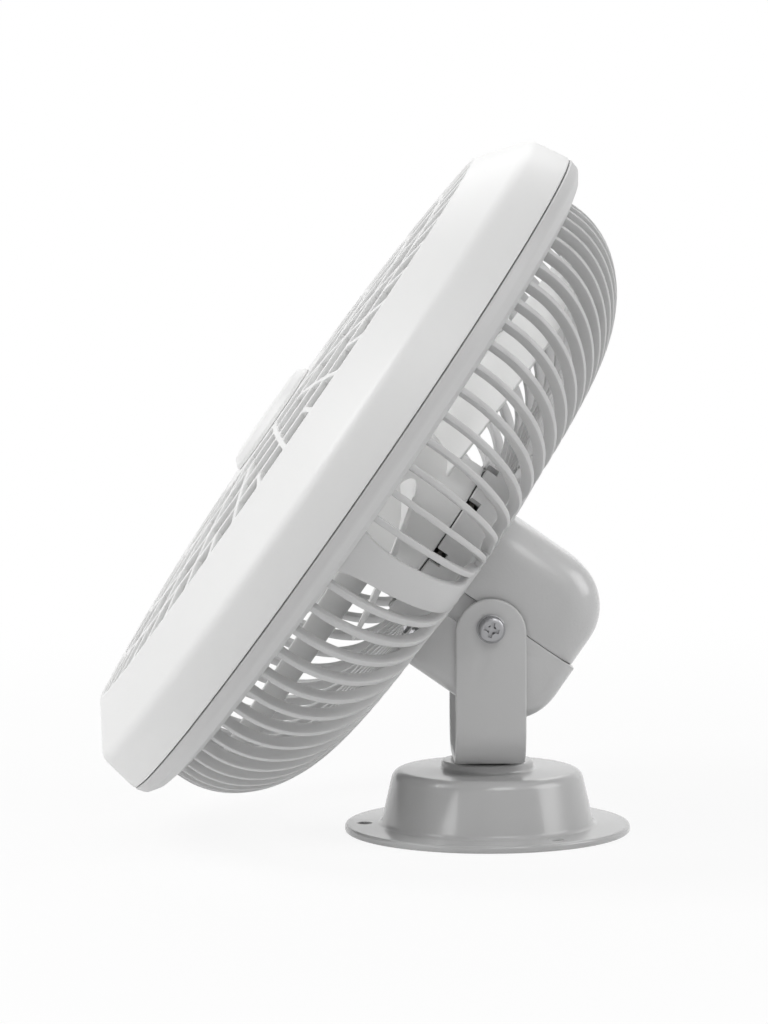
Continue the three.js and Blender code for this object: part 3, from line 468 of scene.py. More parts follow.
baseLook = {
    "footRadius": 32.4, "shoulderRadius": 28.6, "domeTop": 18.8, "flange": 2.2, "wall": 2.0,
    "collarRadius": 14.0, "collarRise": 2.8, "swivelHole": 2.8,
    "mounts": 3, "firstMount": -90, "mountHole": 1.9, "mountCircle": 37.4, "mountSink": 0.9,
    "edges": {"hole": 0.3, "collar": 0.7, "collarFoot": 0.9, "shoulder": 3.4, "foot": 1.6,
        "flange": 0.9, "under": 0.5, "innerFoot": 0.6, "innerTop": 2.0, "innerHole": 0.2}}


def makeBase(look):
    edges, top, hole, flange = look["edges"], look["domeTop"], look["swivelHole"], look["flange"]
    collar, collarTop = look["collarRadius"], top + look["collarRise"]
    foot, shoulder, wall = look["footRadius"], look["shoulderRadius"], look["wall"]
    shell = rounded([(hole, collarTop, edges["hole"]), (collar, collarTop, edges["collar"]),
        (collar, top, edges["collarFoot"]), (shoulder, top, edges["shoulder"]),
        (foot, flange, edges["foot"]), (flangeRadius, flange, edges["flange"]),
        (flangeRadius, 0, edges["under"]), (foot - wall, 0, edges["innerFoot"]),
        (shoulder - wall, top - wall, edges["innerTop"]), (hole, top - wall, edges["innerHole"])],
        segments=144)
    # each mounting hole opens out towards the top, past the flange's face
    mount, above = look["mountHole"], flange + 0.4
    holes = []
    for i in range(look["mounts"]):
        cutter = lathe([(0, -1), (mount, -1), (mount, flange - 0.5),
                (mount + look["mountSink"], above), (0, above)], segments=40)
        turn = look["firstMount"] + 360 / look["mounts"] * i
        holes.append(shifted(cutter, *around(look["mountCircle"], turn)))
    piece("baseShell", combined(shell, "DIFFERENCE", *holes), standing, "base", "grey_paint",
        "base_shell")


makeBase(baseLook)
print("base made")


screwSizes = {"HeadRadius": 4.0, "HeadHeight": 2.2, "ShankRadius": 2.0, "ShankLength": 8.0,
    "RecessWidth": 0.9, "RecessReach": 2.2, "RecessDepth": 1.3, "Count": 1, "Circle": 0.0,
    "First": 0.0, "Pitch": 120.0}
screwLook = {
    "sides": 48, "rows": 10, "bulge": 3.2, "roundness": 0.42, "topShare": 0.66, "overlap": 0.05,
    "crossAngles": (20, 110), "pitSides": 24, "pitShare": 0.62, "pitPoint": 0.05,
    "tilt": {"ShankLength": 8.2, "RecessWidth": 1.2, "RecessReach": 2.3, "RecessDepth": 1.9},
    "swivel": {"HeadRadius": 4.8, "HeadHeight": 2.8, "ShankRadius": 2.5, "RecessReach": 2.6},
    "weight": {"HeadRadius": 3.0, "HeadHeight": 1.8, "ShankRadius": 1.5, "RecessReach": 1.6,
        "RecessWidth": 0.7, "RecessDepth": 1.1, "Count": 3, "Circle": 20.0, "First": -90.0},
    "tiltWasher": {"hole": 2.1, "radius": 4.3, "edge": 0.2},
    "washerThickness": 0.6, "washerGap": 0.7,
    "swivelWasher": {"hole": 2.6, "radius": 6, "edge": 0.25}}


# a pan head with a crossed recess, head up on Z = 0; Count of them on a circle
def screwTree(sizes, look):
    tree, given, calc = newTree("crossScrew", sizes)
    reach, height, deep = given["RecessReach"], given["HeadHeight"], given["RecessDepth"]
    shank = geo(tree, "MeshCylinder", {
        "Vertices": look["sides"], "Side Segments": 1, "Radius": given["ShankRadius"],
        "Depth": given["ShankLength"]})
    sunk = calc("*+", given["ShankLength"], -0.5, look["overlap"])
    shank = placed(tree, shank, Translation=vectorOf(tree, Z=sunk))
    head = geo(tree, "MeshCylinder", {
        "Vertices": look["sides"], "Side Segments": look["rows"], "Fill Segments": 1,
        "Radius": 1.0, "Depth": 1.0})
    at = positionIn(tree)
    rise = calc("+", at["Z"], 0.5)
    # the side rounds in towards the top like a superellipse
    fill = calc("POWER", calc("-", 1.0, calc("POWER", rise, look["bulge"])), look["roundness"])
    span = calc("*", given["HeadRadius"], calc("*+", fill, 1 - look["topShare"], look["topShare"]))
    head = reshaped(tree, head, Position=vectorOf(
        tree, X=calc("*", at["X"], span), Y=calc("*", at["Y"], span), Z=calc("*", rise, height)))
    slot = geo(tree, "MeshCube", {"Size": vectorOf(
        tree, X=calc("*", reach, 2.0), Y=given["RecessWidth"], Z=calc("*", deep, 2.0))})
    top = vectorOf(tree, Z=height)
    cutters = [placed(tree, slot, Translation=top, Rotation=(0, 0, math.radians(turn)))
        for turn in look["crossAngles"]]
    pit = geo(tree, "MeshCone", {
        "Vertices": look["pitSides"], "Radius Top": calc("*", reach, look["pitShare"]),
        "Radius Bottom": look["pitPoint"], "Depth": deep})
    floor = calc("-", height, deep)
    cutters.append(placed(tree, pit, Translation=vectorOf(tree, Z=floor)))
    whole = geo(tree, "MeshBoolean", {"Mesh 2": [head, shank]}, operation="UNION", solver="EXACT")
    bare = geo(tree, "MeshBoolean", {"Mesh 1": whole, "Mesh 2": cutters}, operation="DIFFERENCE",
        solver="EXACT")
    return endedRing(tree, given, placed(tree, bare, Translation=vectorOf(tree, X=given["Circle"])))


def screwMesh(tree, **changes):
    return treeMesh(tree, {**screwSizes, **changes}, "screw_steel")


def washerMesh(look, low, high):
    hole, radius = look["hole"], look["radius"]
    return rounded([(hole, low, 0.1), (radius, low, 0.15), (radius, high, look["edge"]),
            (hole, high, 0.1)], steps=3, segments=64)


def makeScrews(look):
    tree, steel = screwTree(screwSizes, look), "screw_steel"
    alongTilt = (Matrix.Translation((0, 0, tiltHeight * mm))
        @ Matrix.Rotation(math.radians(90), 4, "Y"))
    _, _, headTop = spanOf("tilt_screw_right", alongTilt)
    seat = headTop - screwSizes["HeadHeight"]
    washerLow = seat - look["washerGap"]
    for side, word in ((1, "right"), (-1, "left")):
        screw = turned(shifted(screwMesh(tree, **look["tilt"]), z=seat), 90 * side, "Y")
        piece("tiltScrew_" + word, screw, headPlace, "head", steel, "tilt_screw_" + word)
        washer = washerMesh(look["tiltWasher"], washerLow, washerLow + look["washerThickness"])
        piece("tiltWasher_" + word, turned(washer, 90 * side, "Y"), headPlace, "head", steel,
            "tilt_washer_" + word)
    low, high = heightsOf("swivel_screw")
    sizes = look["swivel"]
    seat = high - sizes["HeadHeight"]
    swivel = shifted(screwMesh(tree, ShankLength=seat - low, **sizes), z=seat)
    piece("swivelScrew", swivel, standing, "base", steel, "swivel_screw")
    washer = washerMesh(look["swivelWasher"], *heightsOf("swivel_washer"))
    piece("swivelWasher", washer, standing, "base", steel, "swivel_washer")
    low, high = heightsOf("base_weight_screw_1")
    sizes = look["weight"]
    shank = high - low - sizes["HeadHeight"]
    weight = turned(screwMesh(tree, ShankLength=shank, **sizes), 180, "X")
    weight = turned(shifted(weight, z=low + sizes["HeadHeight"]), 180, "Z")
    piece("weightScrews", weight, standing, "base", steel,
        "base_weight_screw_1", "base_weight_screw_2", "base_weight_screw_3")


makeScrews(screwLook)
print("screws made")


strapLook = {"width": 21.1, "thickness": 1.6, "span": 46.0, "bend": 12.0, "edge": 0.6,
    "tiltHole": 2.35, "swivelHole": 2.85}


def makeStrap(look):
    (foot, top), reach, half = heightsOf("strap"), look["span"] / 2, look["width"] / 2
    bend, thick = look["bend"], look["thickness"]
    bent = roundedPath([
        (-reach, top, 0), (-reach, foot, bend), (reach, foot, bend), (reach, top, 0),
        (reach - thick, top, 0), (reach - thick, foot + thick, bend - thick),
        (thick - reach, foot + thick, bend - thick), (thick - reach, top, 0)], steps=12)
    sheet = turned(prism(bent, -half, half), 90, "X")
    # the ears' outline, pulled across both arms
    arc = [around(half, angle) for angle in range(0, 181, 5)]
    ear = [(half, 0)] + [(x, top - half + y) for x, y in arc] + [(-half, 0)]
    ears = turned(turned(prism(ear, -reach - 1, reach + 1), 90, "X"), 90, "Z")
    circle = [around(look["tiltHole"], angle) for angle in range(0, 360, 10)]
    tiltHoles = shifted(turned(prism(circle, -reach - 2, reach + 2), 90, "Y"), z=tiltHeight)
    swivelHole = rod(look["swivelHole"], 0, foot + 5)
    shaped = combined(combined(sheet, "INTERSECT", ears), "DIFFERENCE", tiltHoles, swivelHole)
    piece("strapArm", softened(shaped, look["edge"]), standing, "strap", "strap_paint", "strap")


makeStrap(strapLook)
print("strap made")


bezelLook = {"crestRadius": 112.9, "crestForward": 72.7, "crestRounding": 5.5, "lipRadius": 98.7,
    "lipForward": 83.4, "lipWidth": 1.5, "lipDepth": 3.4, "wall": 2.2, "turnDrop": 0.8,
    "edges": {"seam": 0.5, "lip": 0.8, "lipInside": 0.5, "lipBack": 0.3, "turn": 2.5, "foot": 0.2}}
grilleSizes = {"LipRadius": 98.7, "LipForward": 83.4, "Crown": 4.4, "DomePower": 2.6, "Rib": 1.8,
    "Depth": 2.8, "Soften": 0.45}
grilleLook = {"rings": [98.1, 83.9, 68.1, 48.1, 25.0], "spokes": [48, 24, 24, 12],
    "ringPoints": 192, "spokePoints": 12, "flareWidth": 1.1, "flareFade": -0.9,
    "hubHole": 3.3, "hubFall": 0.12, "hubThickness": 2.8, "hubEdge": 0.4}


# where the dome stands at a distance from the axis
def domeHeight(calc, given, radius):
    share = calc("MINIMUM", calc("/", radius, given["LipRadius"]), 1.0)
    fall = calc("-", 1.0, calc("POWER", share, given["DomePower"]))
    return calc("*+", given["Crown"], fall, given["LipForward"])


# lays flat strips made about Z = 0 on the dome, their front faces flush with it
def onDome(tree, calc, given, geometry):
    at = positionIn(tree)
    reach = calc("SQRT", calc("+", calc("POWER", at["X"], 2.0), calc("POWER", at["Y"], 2.0)))
    sunk = calc("*+", given["Depth"], -0.5, domeHeight(calc, given, reach))
    return reshaped(tree, geometry, Offset=vectorOf(tree, Z=sunk))


def grilleTree(sizes, look):
    tree, given, calc = newTree("domedGrille", sizes)
    profile = softProfile(tree, given["Rib"], given["Depth"], given["Soften"])
    parts = []
    for radius in look["rings"]:
        circle = geo(tree, "CurvePrimitiveCircle", {
            "Resolution": look["ringPoints"], "Radius": radius})
        parts.append(onDome(tree, calc, given, swept(tree, circle, profile)))
    for outer, inner, count in zip(look["rings"], look["rings"][1:], look["spokes"]):
        path = lineOf(tree, (inner, 0, 0), (outer, 0, 0), look["spokePoints"])
        spoke = swept(tree, path, profile)
        # a spoke widens softly where it runs into the rings
        at = positionIn(tree)
        toEnd = calc("MINIMUM", calc("-", at["X"], inner), calc("-", outer, at["X"]))
        flare = calc("*", fading(calc, toEnd, look["flareFade"]), look["flareWidth"])
        spoke = reshaped(tree, spoke, Offset=vectorOf(tree, Y=calc("*", at["Y"], flare)))
        spoke = onDome(tree, calc, given, spoke)
        parts.append(roundTheAxis(tree, spoke, count, 0.0, 360.0 / count))
    return endedTree(tree, given, geo(tree, "JoinGeometry", {0: parts}))


# the radius of the bezel's inner face at a height
def guardInside(look, forward):
    taper = (headRadius - look["crestRadius"]) / (look["crestForward"] - seamForward)
    return headRadius - look["wall"] - taper * (forward - seamForward)


def makeFrontGuard(look, grille):
    edges, lip, lipForward = look["edges"], look["lipRadius"], look["lipForward"]
    inner, turn = lip - look["lipWidth"], look["crestForward"] - look["wall"] - look["turnDrop"]
    bezel = rounded([(headRadius, seamForward, edges["seam"]),
        (look["crestRadius"], look["crestForward"], look["crestRounding"]),
        (lip, lipForward, edges["lip"]), (inner, lipForward, edges["lipInside"]),
        (inner, lipForward - look["lipDepth"], edges["lipBack"]),
        (guardInside(look, turn), turn, edges["turn"]),
        (guardInside(look, seamForward), seamForward, edges["foot"])], steps=7, segments=240)
    bars = treeMesh(grilleTree(grilleSizes, grille), grilleSizes, "white_plastic")
    crown, thick = grilleSizes["LipForward"] + grilleSizes["Crown"], grille["hubThickness"]
    radius, bore, edge = grille["rings"][-1], grille["hubHole"], grille["hubEdge"]
    hub = rounded([(bore, crown, 0), (radius, crown - grille["hubFall"], edge),
        (radius, crown - thick - 0.1, edge), (bore, crown - thick, 0)])
    piece("frontGuard", gathered(bezel, bars, hub), fanPlace, "head", "white_plastic",
        "front_guard")


capLook = {"stem": 3, "thickness": 3.2, "stemEdge": 0.3, "rimHeight": 1.2, "rimInset": 0.4,
    "rimEdge": 0.7, "shoulderInset": 2.4, "shoulderDrop": 0.35, "shoulderEdge": 0.9,
    "crownInset": 4.2, "crownEdge": 1.5}


def makeCap(look):
    radius, low, high = spanOf("centre_cap")
    seat, stem, edge = high - look["thickness"], look["stem"], look["stemEdge"]
    cap = rounded([(0, low, 0), (stem, low, edge), (stem, seat, 0), (radius, seat, edge),
        (radius - look["rimInset"], seat + look["rimHeight"], look["rimEdge"]),
        (radius - look["shoulderInset"], high - look["shoulderDrop"], look["shoulderEdge"]),
        (radius - look["crownInset"], high, look["crownEdge"]), (0, high, 0)], steps=6,
        segments=128)
    piece("centreCap", cap, fanPlace, "head", "white_plastic", "centre_cap")


makeFrontGuard(bezelLook, grilleLook)
makeCap(capLook)
print("front guard made")


rimLook = {"seamGap": 0.3, "sideInset": 0.9, "sideHeight": 3.4, "shoulderRadius": 110.6,
    "shoulderRise": 1.4, "under": 52.4, "footRadius": 105.4, "ribOverlap": 0.6,
    "insideHeight": 2.2, "tongueTop": 63.4, "tongueWall": 1.8,
    "edges": {"seam": 0.5, "side": 2.5, "shoulder": 2.2, "foot": 0.8, "inside": 0.6,
        "tongue": 0.4}}
cupLook = {"plateRadius": 37.0, "plateThickness": 2.6, "plateEdge": 0.7, "radius": 27.0,
    "wall": 2.5, "front": 27.2, "foot": 0.8, "edge": 0.5, "slots": 9, "slotWidth": 4.6,
    "slotDepth": 3.7, "slotTurn": -0.25}
cageLook = {"ribsAbove": 39, "ribsBelow": 33, "armAngle": -7.0, "armClear": 6.2, "pathPoints": 44,
    "bendStart": 0.07, "bendEnd": 0.7, "plateSink": 0.75, "flareStart": 2.0}
ribSizes = {"Outer": 104.5, "Turn": 50.0, "CurveAxial": 32.5, "CurveRadial": 40.5, "Start": 54.0,
    "PlateRadius": 36.0, "PlateForward": 14.4, "Depth": 3.6, "Thickness": 1.9,
    "ThinShare": 0.68, "Soften": 0.45, "Flare": 0.0, "FlareLength": 5.0, "Count": 1,
    "First": 0.0, "Pitch": 0.0}
armSizes = {**ribSizes, "Depth": 3.2, "Thickness": 9.6, "ThinShare": 1.0, "Soften": 0.8,
    "Flare": 0.42, "FlareLength": 4.5, "Count": 2}


# one rib follows the cage's outer line from the rim, round the corner and in to the plate
def ribTree(sizes, look):
    tree, given, calc = newTree("cageRibs", sizes)
    path = lineOf(tree, (0, 0, 0), (1, 0, 0), look["pathPoints"])
    along = addNode(tree, "GeometryNodeSplineParameter").outputs["Factor"]
    half = calc("*", given["Depth"], 0.5)
    bendStart, bendEnd = look["bendStart"], look["bendEnd"]
    toBend = calc("MAXIMUM", calc("-", 1.0, calc("/", along, bendStart)), 0.0)
    bent = calc("/", calc("-", along, bendStart), bendEnd - bendStart)
    angle = calc("*", addNode(tree, "ShaderNodeClamp", {"Value": bent}).outputs[0], math.pi / 2)
    afterBend = calc("MAXIMUM", calc("/", calc("-", along, bendEnd), 1 - bendEnd), 0.0)
    centre = calc("-", given["Outer"], given["CurveRadial"])
    out = calc("*+", calc("-", given["CurveRadial"], half), calc("COSINE", angle), centre)
    inward = calc("*", afterBend, calc("-", centre, given["PlateRadius"]))
    back = calc("-", given["CurveAxial"], half)
    forward = calc("-", given["Turn"], calc("*", back, calc("SINE", angle)))
    rise = calc("*", toBend, calc("-", given["Start"], given["Turn"]))
    seat = calc("+", given["PlateForward"], calc("*", half, look["plateSink"]))
    drop = calc("*", afterBend, calc("-", seat, calc("-", given["Turn"], back)))
    path = reshaped(tree, path, Position=vectorOf(
        tree, X=calc("-", out, inward), Y=calc("+", calc("+", forward, rise), drop)))
    rib = swept(tree, path, softProfile(tree, given["Depth"], given["Thickness"], given["Soften"]))
    # it thins towards the plate, and an arm widens towards the rim
    at = positionIn(tree)
    share = calc("/", calc("-", at["X"], given["PlateRadius"]),
        calc("-", given["Outer"], given["PlateRadius"]))
    width = calc("+", given["ThinShare"], calc("*", calc("-", 1.0, given["ThinShare"]), share))
    fromRim = calc("MAXIMUM", calc("-", given["Turn"], at["Y"]), -look["flareStart"])
    lengths = calc("/", calc("+", fromRim, look["flareStart"]), given["FlareLength"])
    width = calc("*+", given["Flare"], fading(calc, lengths, -1.0), width)
    rib = reshaped(tree, rib, Position=vectorOf(
        tree, X=at["X"], Y=at["Y"], Z=calc("*", at["Z"], width)))
    return endedRing(tree, given, placed(tree, rib, Rotation=(math.radians(90), 0, 0)))


# the plate with the motor's cup, open slots in the cup's front edge
def backPlate(look):
    back, radius, cupFront = basketBack, look["radius"], look["front"]
    inside, front = radius - look["wall"], back + look["plateThickness"]
    plate = rounded([(0, back, 0), (look["plateRadius"], back, look["plateEdge"]),
        (look["plateRadius"], front, look["plateEdge"]), (radius, front, look["foot"]),
        (radius, cupFront, look["edge"]), (inside, cupFront, look["edge"]),
        (inside, front, look["foot"]), (0, front, 0)], segments=144)
    half = look["slotWidth"] / 2
    slots = []
    for i in range(look["slots"]):
        floor = cupFront - look["slotDepth"]
        slot = box((inside - 1, radius + 1), (-half, half), (floor, cupFront + 1))
        slots.append(turned(slot, 360 * (i + look["slotTurn"]) / look["slots"], "Z"))
    return combined(plate, "DIFFERENCE", *slots)


def makeBasket(look, cage):
    edges, under, tongueTop = look["edges"], look["under"], look["tongueTop"]
    shoulder = seamForward - look["seamGap"]
    tongue = guardInside(bezelLook, tongueTop) - look["seamGap"]
    inside = ribSizes["Outer"] - ribSizes["Depth"] - look["ribOverlap"]
    rim = rounded([(headRadius, shoulder, edges["seam"]),
        (headRadius - look["sideInset"], shoulder - look["sideHeight"], edges["side"]),
        (look["shoulderRadius"], under + look["shoulderRise"], edges["shoulder"]),
        (look["footRadius"], under, edges["foot"]), (inside, under, edges["inside"]),
        (inside, under + look["insideHeight"], edges["inside"]),
        (tongue - look["tongueWall"], tongueTop, edges["tongue"]),
        (tongue, tongueTop, edges["tongue"]), (tongue, shoulder, 0)], steps=6, segments=240)
    tree = ribTree(ribSizes, cage)
    clear, side = cage["armClear"], cage["armAngle"]
    # the ribs fill the two spans between the arms, evenly from one end to the other
    spans = [(cage["ribsAbove"], side + clear, 180 - side - clear),
        (cage["ribsBelow"], side - clear, clear - side - 180)]
    ribs = [treeMesh(tree, {**ribSizes, "Count": count, "First": first,
            "Pitch": (last - first) / (count - 1)}, "cage_plastic")
        for count, first, last in spans]
    arms = treeMesh(tree, {**armSizes, "First": side, "Pitch": 180 - 2 * side}, "cage_plastic")
    piece("rearBasket", gathered(rim, backPlate(cupLook), *ribs, arms), fanPlace, "head",
        "cage_plastic", "rear_basket")


makeBasket(rimLook, cageLook)
print("rear basket made")


# the motor is made as far as it shows between the ribs
motorLook = {"tubeInside": 5.1, "tubeOutside": 6.6, "plate": 1.6, "canInset": 0.1, "canWall": 1.0,
    "canNeck": 3.2, "neckRadius": 4, "shaftHole": 2.1}


def makeMotor(look):
    radius, low, high = spanOf("motor_base")
    inside, outside, plateTop = look["tubeInside"], look["tubeOutside"], low + look["plate"]
    base = rounded([
        (inside, low, 0), (radius, low, 0.2), (radius, plateTop, 0.4), (outside, plateTop, 0.8),
        (outside, high, 0.3), (inside, high, 0.2)])
    piece("motorBase", base, fanPlace, "head", "dark_steel", "motor_base")
    radius, low, high = spanOf("rotor_can")
    outside, top = radius - look["canInset"], high - look["canNeck"]
    inside = radius - look["canInset"] - look["canWall"]
    neck, hole = look["neckRadius"], look["shaftHole"]
    can = rounded([(inside, low, 0.2), (outside, low, 0.3), (outside, top, 1.2), (neck, top, 0.6),
        (neck, high, 0.3), (hole, high, 0), (hole, top - look["canWall"], 0),
        (inside, top - look["canWall"], 0.6)])
    piece("rotorCan", can, fanPlace, "rotor", "dark_steel", "rotor_can")


makeMotor(motorLook)
print("motor made")


bladeSizes = {"Root": 23.2, "Tip": 93.0, "Rear": 36.4, "Front": 46.7, "RootSpan": 46.0,
    "TipSpan": 27.0, "Sweep": -2.0, "Camber": 2.0, "Thickness": 1.7, "Narrowing": 0.12,
    "Count": 5, "First": -6.0, "Pitch": 72.0}
bladeLook = {"sectionPoints": 44, "spanRows": 26, "bluntness": 0.5, "sweepPower": 1.5,
    "camberFade": -0.4}
hubLook = {"radius": 24.0, "front": 56.0, "nose": 5.5, "cavity": 22.9, "cavityNose": 4.5,
    "wall": 2.6, "bore": 2.07, "bossRadius": 5, "bossLow": 47.2, "bossTop": 2.2, "seat": 9}
nutLook = {"hole": 2.1, "collar": 2, "shoulder": 1.8, "crown": 4, "wall": 1.6, "flutes": 8,
    "fluteRadius": 0.9, "fluteSink": 0.3}


# a blade is a closed tube: round its section go the two faces, along it the span
def bladeTree(sizes, look):
    tree, given, calc = newTree("blades", sizes)
    tube = geo(tree, "MeshCylinder", {
        "Vertices": look["sectionPoints"], "Side Segments": look["spanRows"], "Radius": 1.0,
        "Depth": 1.0}, fill_type="TRIANGLE_FAN")
    at = positionIn(tree)
    chord = calc("*+", at["X"], -0.5, 0.5)
    side = calc("*", calc("SIGN", at["Y"]),
        calc("POWER", calc("ABSOLUTE", at["Y"]), look["bluntness"]))
    span = calc("+", at["Z"], 0.5)
    reach = calc("*+", span, calc("-", given["Tip"], given["Root"]), given["Root"])
    turn = calc("*+", span, calc("-", given["TipSpan"], given["RootSpan"]), given["RootSpan"])
    middle = calc("-", chord, 0.5)
    lean = calc("*", given["Sweep"], calc("POWER", span, look["sweepPower"]))
    angle = calc("RADIANS", calc("*+", turn, middle, lean))
    arch = calc("SINE", calc("*", chord, math.pi))
    camber = calc("*", calc("*", given["Camber"], arch), calc("*+", span, look["camberFade"], 1.0))
    shrink = calc("-", 1.0, calc("*", given["Narrowing"], span))
    depth = calc("*", calc("-", given["Front"], given["Rear"]), shrink)
    level = calc("*", calc("+", given["Front"], given["Rear"]), 0.5)
    height = calc("-", calc("*+", depth, middle, level), camber)
    skin = calc("*", side, calc("*", given["Thickness"], 0.5))
    blade = reshaped(tree, tube, Position=vectorOf(tree, X=calc("*", reach, calc("COSINE", angle)),
        Y=calc("*", reach, calc("SINE", angle)), Z=calc("+", height, skin)))
    return endedRing(tree, given, blade)


def makeImpeller(look):
    raw = bmesh.new()
    raw.from_mesh(treeMesh(bladeTree(bladeSizes, bladeLook), bladeSizes, "white_plastic"))
    blades = closedMesh(raw, weld=1e-4)
    radius, front, cavity, bore = look["radius"], look["front"], look["cavity"], look["bore"]
    boss, bossLow = look["bossRadius"], look["bossLow"]
    hub = rounded([(cavity, hubRear, 0.3), (radius, hubRear, 0.4), (radius, front, look["nose"]),
        (look["seat"], front, 0), (bore, front, 0), (bore, bossLow, 0), (boss, bossLow, 0.5),
        (boss, front - look["bossTop"], 0.8), (cavity, front - look["wall"], look["cavityNose"])],
        steps=8, segments=128)
    piece("fanBlades", gathered(hub, blades), fanPlace, "rotor", "white_plastic", "impeller")


def makeBladeNut(look):
    radius, low, high = spanOf("blade_nut")
    hole, collarTop, roof = look["hole"], low + look["collar"], high - look["wall"]
    nut = rounded([(hole, low, 0), (radius, low, 0.3), (radius, collarTop, 0.4),
        (radius - look["shoulder"], high - 0.6, 0.9), (radius - look["crown"], high, 1.2),
        (0, high, 0), (0, roof, 0), (hole, roof, 0)], segments=72)
    flutes = []
    for i in range(look["flutes"]):
        flute = rod(look["fluteRadius"], collarTop + 0.2, high + 1, segments=20)
        flute = shifted(flute, x=radius - look["fluteSink"])
        flutes.append(turned(flute, 360 / look["flutes"] * i, "Z"))
    piece("bladeNut", combined(nut, "DIFFERENCE", *flutes), fanPlace, "rotor", "white_plastic",
        "blade_nut")


makeImpeller(hubLook)
makeBladeNut(nutLook)
print("impeller made")


housingLook = {
    "width": 41.2, "top": 30.9, "bottom": -22.3, "front": 13.9, "rear": -27.4, "corner": 17.0,
    "fillet": 11.0, "lowerFillet": 4.6, "wall": 2.0, "lowerWall": 2.4, "parting": 4.2, "gap": 0.14,
    "step": 0.6, "cornerSteps": 14, "filletSteps": 12, "edge": 0.3,
    "recessHeight": 8.4, "recessDepth": 1.6, "recessReach": 6.0,
    "bossRadius": 4.0, "bossHole": 2.3, "bossGap": 0.3,
    "shelfInset": 1, "shelfReach": 7, "shelfThickness": 1,
    "switchHole": ((-6.8, 6.8), (5.7, 14.9)), "inletHole": 4.1, "inletHeight": -0.9}


# the side outline, (forward, up), from the front edge round the back; inset moves it inwards
def housingSide(look, inset, upper, grow):
    sign, steps = (1 if upper else -1), look["cornerSteps"]
    rear, corner = look["rear"] + inset - grow, look["corner"] - inset
    far = look["top" if upper else "bottom"] + sign * (grow - inset)
    arc = [around(corner, 90 * i / steps) for i in range(steps + 1)]
    arc = [(rear + corner - back, far - sign * corner + sign * level) for level, back in arc]
    return [(look["front"], far)] + arc + [(rear, look["parting"] + sign * look["gap"] / 2)]


# the skin between the two sides: rows across the head, pulled in by the fillet at each side
def housingSkin(look, upper, grow, fillet, split):
    half, steps, sign = look["width"] / 2, look["filletSteps"], (1 if upper else -1)
    arc = [around(fillet, 90 * i / steps) for i in range(steps + 1)]
    rows = [(half - fillet + out, fillet - level) for level, out in arc]
    mesh = bmesh.new()
    lines = []
    for x, inset in [(-x, inset) for x, inset in reversed(rows)] + rows:
        side = housingSide(look, inset, upper, grow)
        lines.append([mesh.verts.new((x, up, forward)) for forward, up in side])
    for a, b in zip(lines, lines[1:]):
        for i in range(len(a) - 1):
            mesh.faces.new((a[i], a[i + 1], b[i + 1], b[i]))
    for side in (lines[0], lines[-1]):
        mesh.faces.new([*side, mesh.verts.new((side[0].co.x, split, look["front"]))])
    bmesh.ops.recalc_face_normals(mesh, faces=mesh.faces)
    # the skin is open at the front and the parting plane, so one face tells which way it looks
    outermost = max(mesh.faces, key=lambda face: face.calc_center_median().y * sign)
    if outermost.normal.y * sign < 0:
        bmesh.ops.reverse_faces(mesh, faces=mesh.faces)
    return finishedMesh(mesh)


def makeHousing(look):
    halfWidth, rear, front = look["width"] / 2, look["rear"], look["front"]
    splitUp, splitLow = [look["parting"] + side * look["gap"] / 2 for side in (1, -1)]
    upper = walled(housingSkin(look, True, 0.0, look["fillet"], splitUp), look["wall"])
    upper = combined(upper, "DIFFERENCE", box(*look["switchHole"], (rear - 2, rear + 4)))
    piece("housingUpper", softened(upper, look["edge"], steps=2, angle=50), headPlace, "head",
        "grey_plastic", "housing_upper")
    lower = walled(housingSkin(look, False, look["step"], look["lowerFillet"], splitLow),
        look["lowerWall"])
    halfRecess, floor = look["recessHeight"] / 2, halfWidth - look["recessDepth"]
    cutters = [box(sorted((side * floor, side * (floor + 4))), (-halfRecess, splitLow + 2),
            (-look["recessReach"], front + 2)) for side in (1, -1)]
    cutters.append(shifted(rod(look["inletHole"], rear - 12.6, rear + 7.4), y=look["inletHeight"]))
    lower = combined(lower, "DIFFERENCE", *cutters)
    hole, outside, inner = look["bossHole"], look["bossRadius"], floor - 0.4
    reach = strapLook["span"] / 2 - strapLook["thickness"] - look["bossGap"]
    parts = []
    for side in (1, -1):
        boss = rounded([(hole, inner, 0), (outside, inner, 0), (outside, reach, 0.4),
                (hole, reach, 0.2)], steps=3, segments=48)
        parts.append(turned(boss, 90 * side, "Y"))
    # the lower shell's corners are squarer, so a shelf closes what the upper one's leave open
    inset, depth = look["shelfInset"], look["shelfReach"]
    out, back = halfWidth - inset, rear - look["step"] + inset
    for side in (1, -1):
        plan = roundedPath([(side * out, back, look["lowerFillet"] - inset),
                (side * out, back + depth, 0), (side * (out - depth), back + depth, 0),
                (side * (out - depth), back, 0)])
        top = 0.1 - splitLow
        parts.append(turned(prism(plan, top, top + look["shelfThickness"]), 90, "X"))
    piece("housingLower", gathered(softened(lower, look["edge"], steps=2, angle=50), *parts),
        headPlace, "head", "grey_plastic", "housing_lower")


makeHousing(housingLook)
print("housing made")


switchLook = {
    "proud": 0.25, "frameDepth": 0.3, "frameCorner": 1.4, "bodyInset": (2, 1.6), "bodyFront": 0.1,
    "bodyDepth": 12, "window": (5.9, 3.5), "terminals": (-4, 0, 4), "terminalLength": 4,
    "rockerProud": 0.4, "rockerHalf": 5.2, "rockerWidth": 6.4, "rockerDish": 1.1,
    "rockerSide": 2.9, "keelHalf": 2.6, "keelDepth": 4.4}
inletLook = {"body": 3.8, "flange": 4.5, "flangeDepth": 0.8, "bore": 2.8, "floor": 1.6, "pin": 0.9,
    "pinDepth": 1.8}


